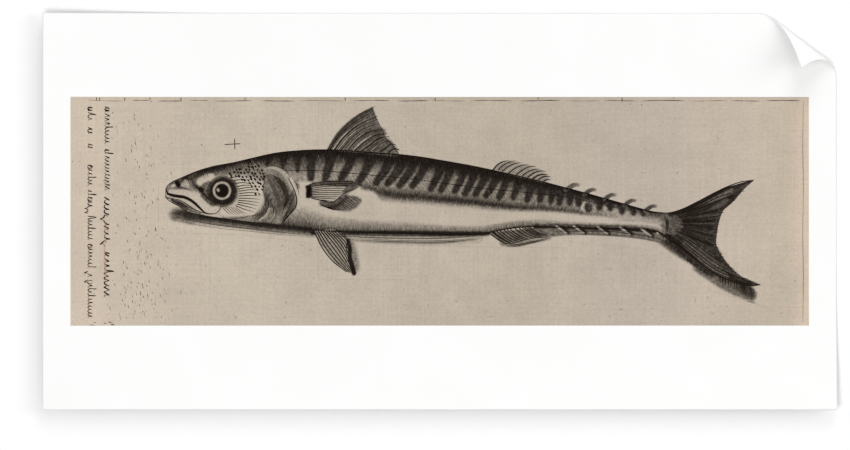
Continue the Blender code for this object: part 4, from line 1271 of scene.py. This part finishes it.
def inkRidges(name, groups):
    # Each line is a closed sliver: at every station two edges stand just over the tone film, half the
    # line's width to each side, and a keel lies inside the paper. Every face is a triangle.
    vertices, faces, start = [], [], 0
    for paths, widths in groups:
        lines, stations = paths.shape[:2]
        tangent = np.gradient(paths, axis=1)
        length = np.maximum(np.hypot(tangent[..., 0], tangent[..., 1]), 1e-6)
        side = np.stack([-tangent[..., 1], tangent[..., 0]], axis=-1) / length[..., None]
        half = 0.5 * np.maximum(widths + ink["spread"] * np.minimum(widths / 0.2, 1.0), 0.02)[..., None]
        left, right = paths + side * half, paths - side * half
        face = frontHeight(paths[..., 0], paths[..., 1])
        ring = np.stack([np.concatenate([left, (face + ink["above"])[..., None]], axis=-1),
            np.concatenate([right, (face + ink["above"])[..., None]], axis=-1),
            np.concatenate([paths, (face - ink["below"])[..., None]], axis=-1)], axis=2)
        vertices.append(ring.reshape(-1, 3))
        first = start + 3 * np.arange(lines * stations).reshape(lines, stations)
        here, after = first[:, :-1].ravel(), first[:, 1:].ravel()
        for a, b in ((0, 1), (1, 2), (2, 0)):
            faces.append(np.stack([here + a, here + b, after + b], axis=-1))
            faces.append(np.stack([here + a, after + b, after + a], axis=-1))
        head, tail = first[:, 0], first[:, -1]
        faces.append(np.stack([head, head + 2, head + 1], axis=-1))
        faces.append(np.stack([tail, tail + 1, tail + 2], axis=-1))
        start += 3 * lines * stations
    vertices = np.concatenate(vertices)
    faces = np.concatenate(faces)
    piece = addMesh(name, vertices * metre, faces, redChalk if name == "chalk_streak" else ironGallInk,
        len(faces))
    planeMap(piece, vertices[:, :2].min(axis=0), vertices[:, :2].max(axis=0))
    return piece


for name, groups in strokes.items():
    inkRidges(name, groups)
print("engraved lines made:", sum(len(paths) for groups in strokes.values() for paths, _ in groups))


# The studio: a pale table in a white room, two low wide softboxes at the right and at the top that give
# the long soft shadows, and a high one from the lower left that fills them.
studio = {
    "tableHex": "#ebebeb", "tableSize": 40.0,
    "roomStrength": 0.58,
    "lights": {   # azimuth and elevation in degrees, distance and size in m, power in W
        "softbox_right": (10.0, 30.0, 3.0, 1.8, 28.0),
        "softbox_top": (80.0, 30.0, 3.0, 1.8, 26.4),
        "overhead_fill": (225.0, 66.0, 3.0, 1.4, 39.0),
    },
    "lens": 200.0, "viewWidth": 0.6431,          # m that the camera takes in across the sheet
    "viewX": -0.0113, "viewY": -0.0104,
}


def makeStudio():
    # Each lamp stands at its azimuth and elevation and faces the middle of the sheet.
    half = studio["tableSize"] / 2
    mesh = bpy.data.meshes.new("table_top")
    mesh.from_pydata([(-half, -half, -0.0002), (half, -half, -0.0002), (half, half, -0.0002),
        (-half, half, -0.0002)], [], [(0, 1, 2, 3)])
    table = bpy.data.objects.new("table_top", mesh)
    bpy.context.scene.collection.objects.link(table)
    # A matt white laminate gives the soft shadows and almost no reflection.
    surface = bpy.data.materials.new("matt white laminate")
    surface.use_nodes = True
    shader = surface.node_tree.nodes["Principled BSDF"]
    shader.inputs["Base Color"].default_value = linearColour(studio["tableHex"])
    shader.inputs["Roughness"].default_value = 0.9
    shader.inputs["Specular IOR Level"].default_value = 0.1
    mesh.materials.append(surface)

    world = bpy.data.worlds.new("white room")
    world.use_nodes = True
    world.node_tree.nodes["Background"].inputs["Color"].default_value = (1.0, 1.0, 1.0, 1.0)
    world.node_tree.nodes["Background"].inputs["Strength"].default_value = studio["roomStrength"]
    bpy.context.scene.world = world

    for name, (azimuth, elevation, distance, size, power) in studio["lights"].items():
        turn, tilt = math.radians(azimuth), math.radians(elevation)
        toLight = Vector((math.cos(turn) * math.cos(tilt), math.sin(turn) * math.cos(tilt),
            math.sin(tilt)))
        lamp = bpy.data.lights.new(name, "AREA")
        lamp.shape, lamp.size, lamp.energy = "DISK", size, power
        light = bpy.data.objects.new(name, lamp)
        light.location = toLight * distance
        light.rotation_mode = "QUATERNION"
        light.rotation_quaternion = toLight.to_track_quat("Z", "Y")
        light.visible_camera = False
        bpy.context.scene.collection.objects.link(light)

    lens = bpy.data.cameras.new("copy_camera")
    lens.lens, lens.sensor_width = studio["lens"], 36.0
    lens.clip_start, lens.clip_end = 0.05, 50.0
    camera = bpy.data.objects.new("copy_camera", lens)
    camera.location = (studio["viewX"], studio["viewY"], studio["viewWidth"] * studio["lens"] / 36.0)
    bpy.context.scene.collection.objects.link(camera)
    bpy.context.scene.camera = camera
    bpy.context.scene.view_settings.view_transform = "Standard"
    bpy.context.scene.view_settings.look = "None"


makeStudio()
print("table, lights and camera made")
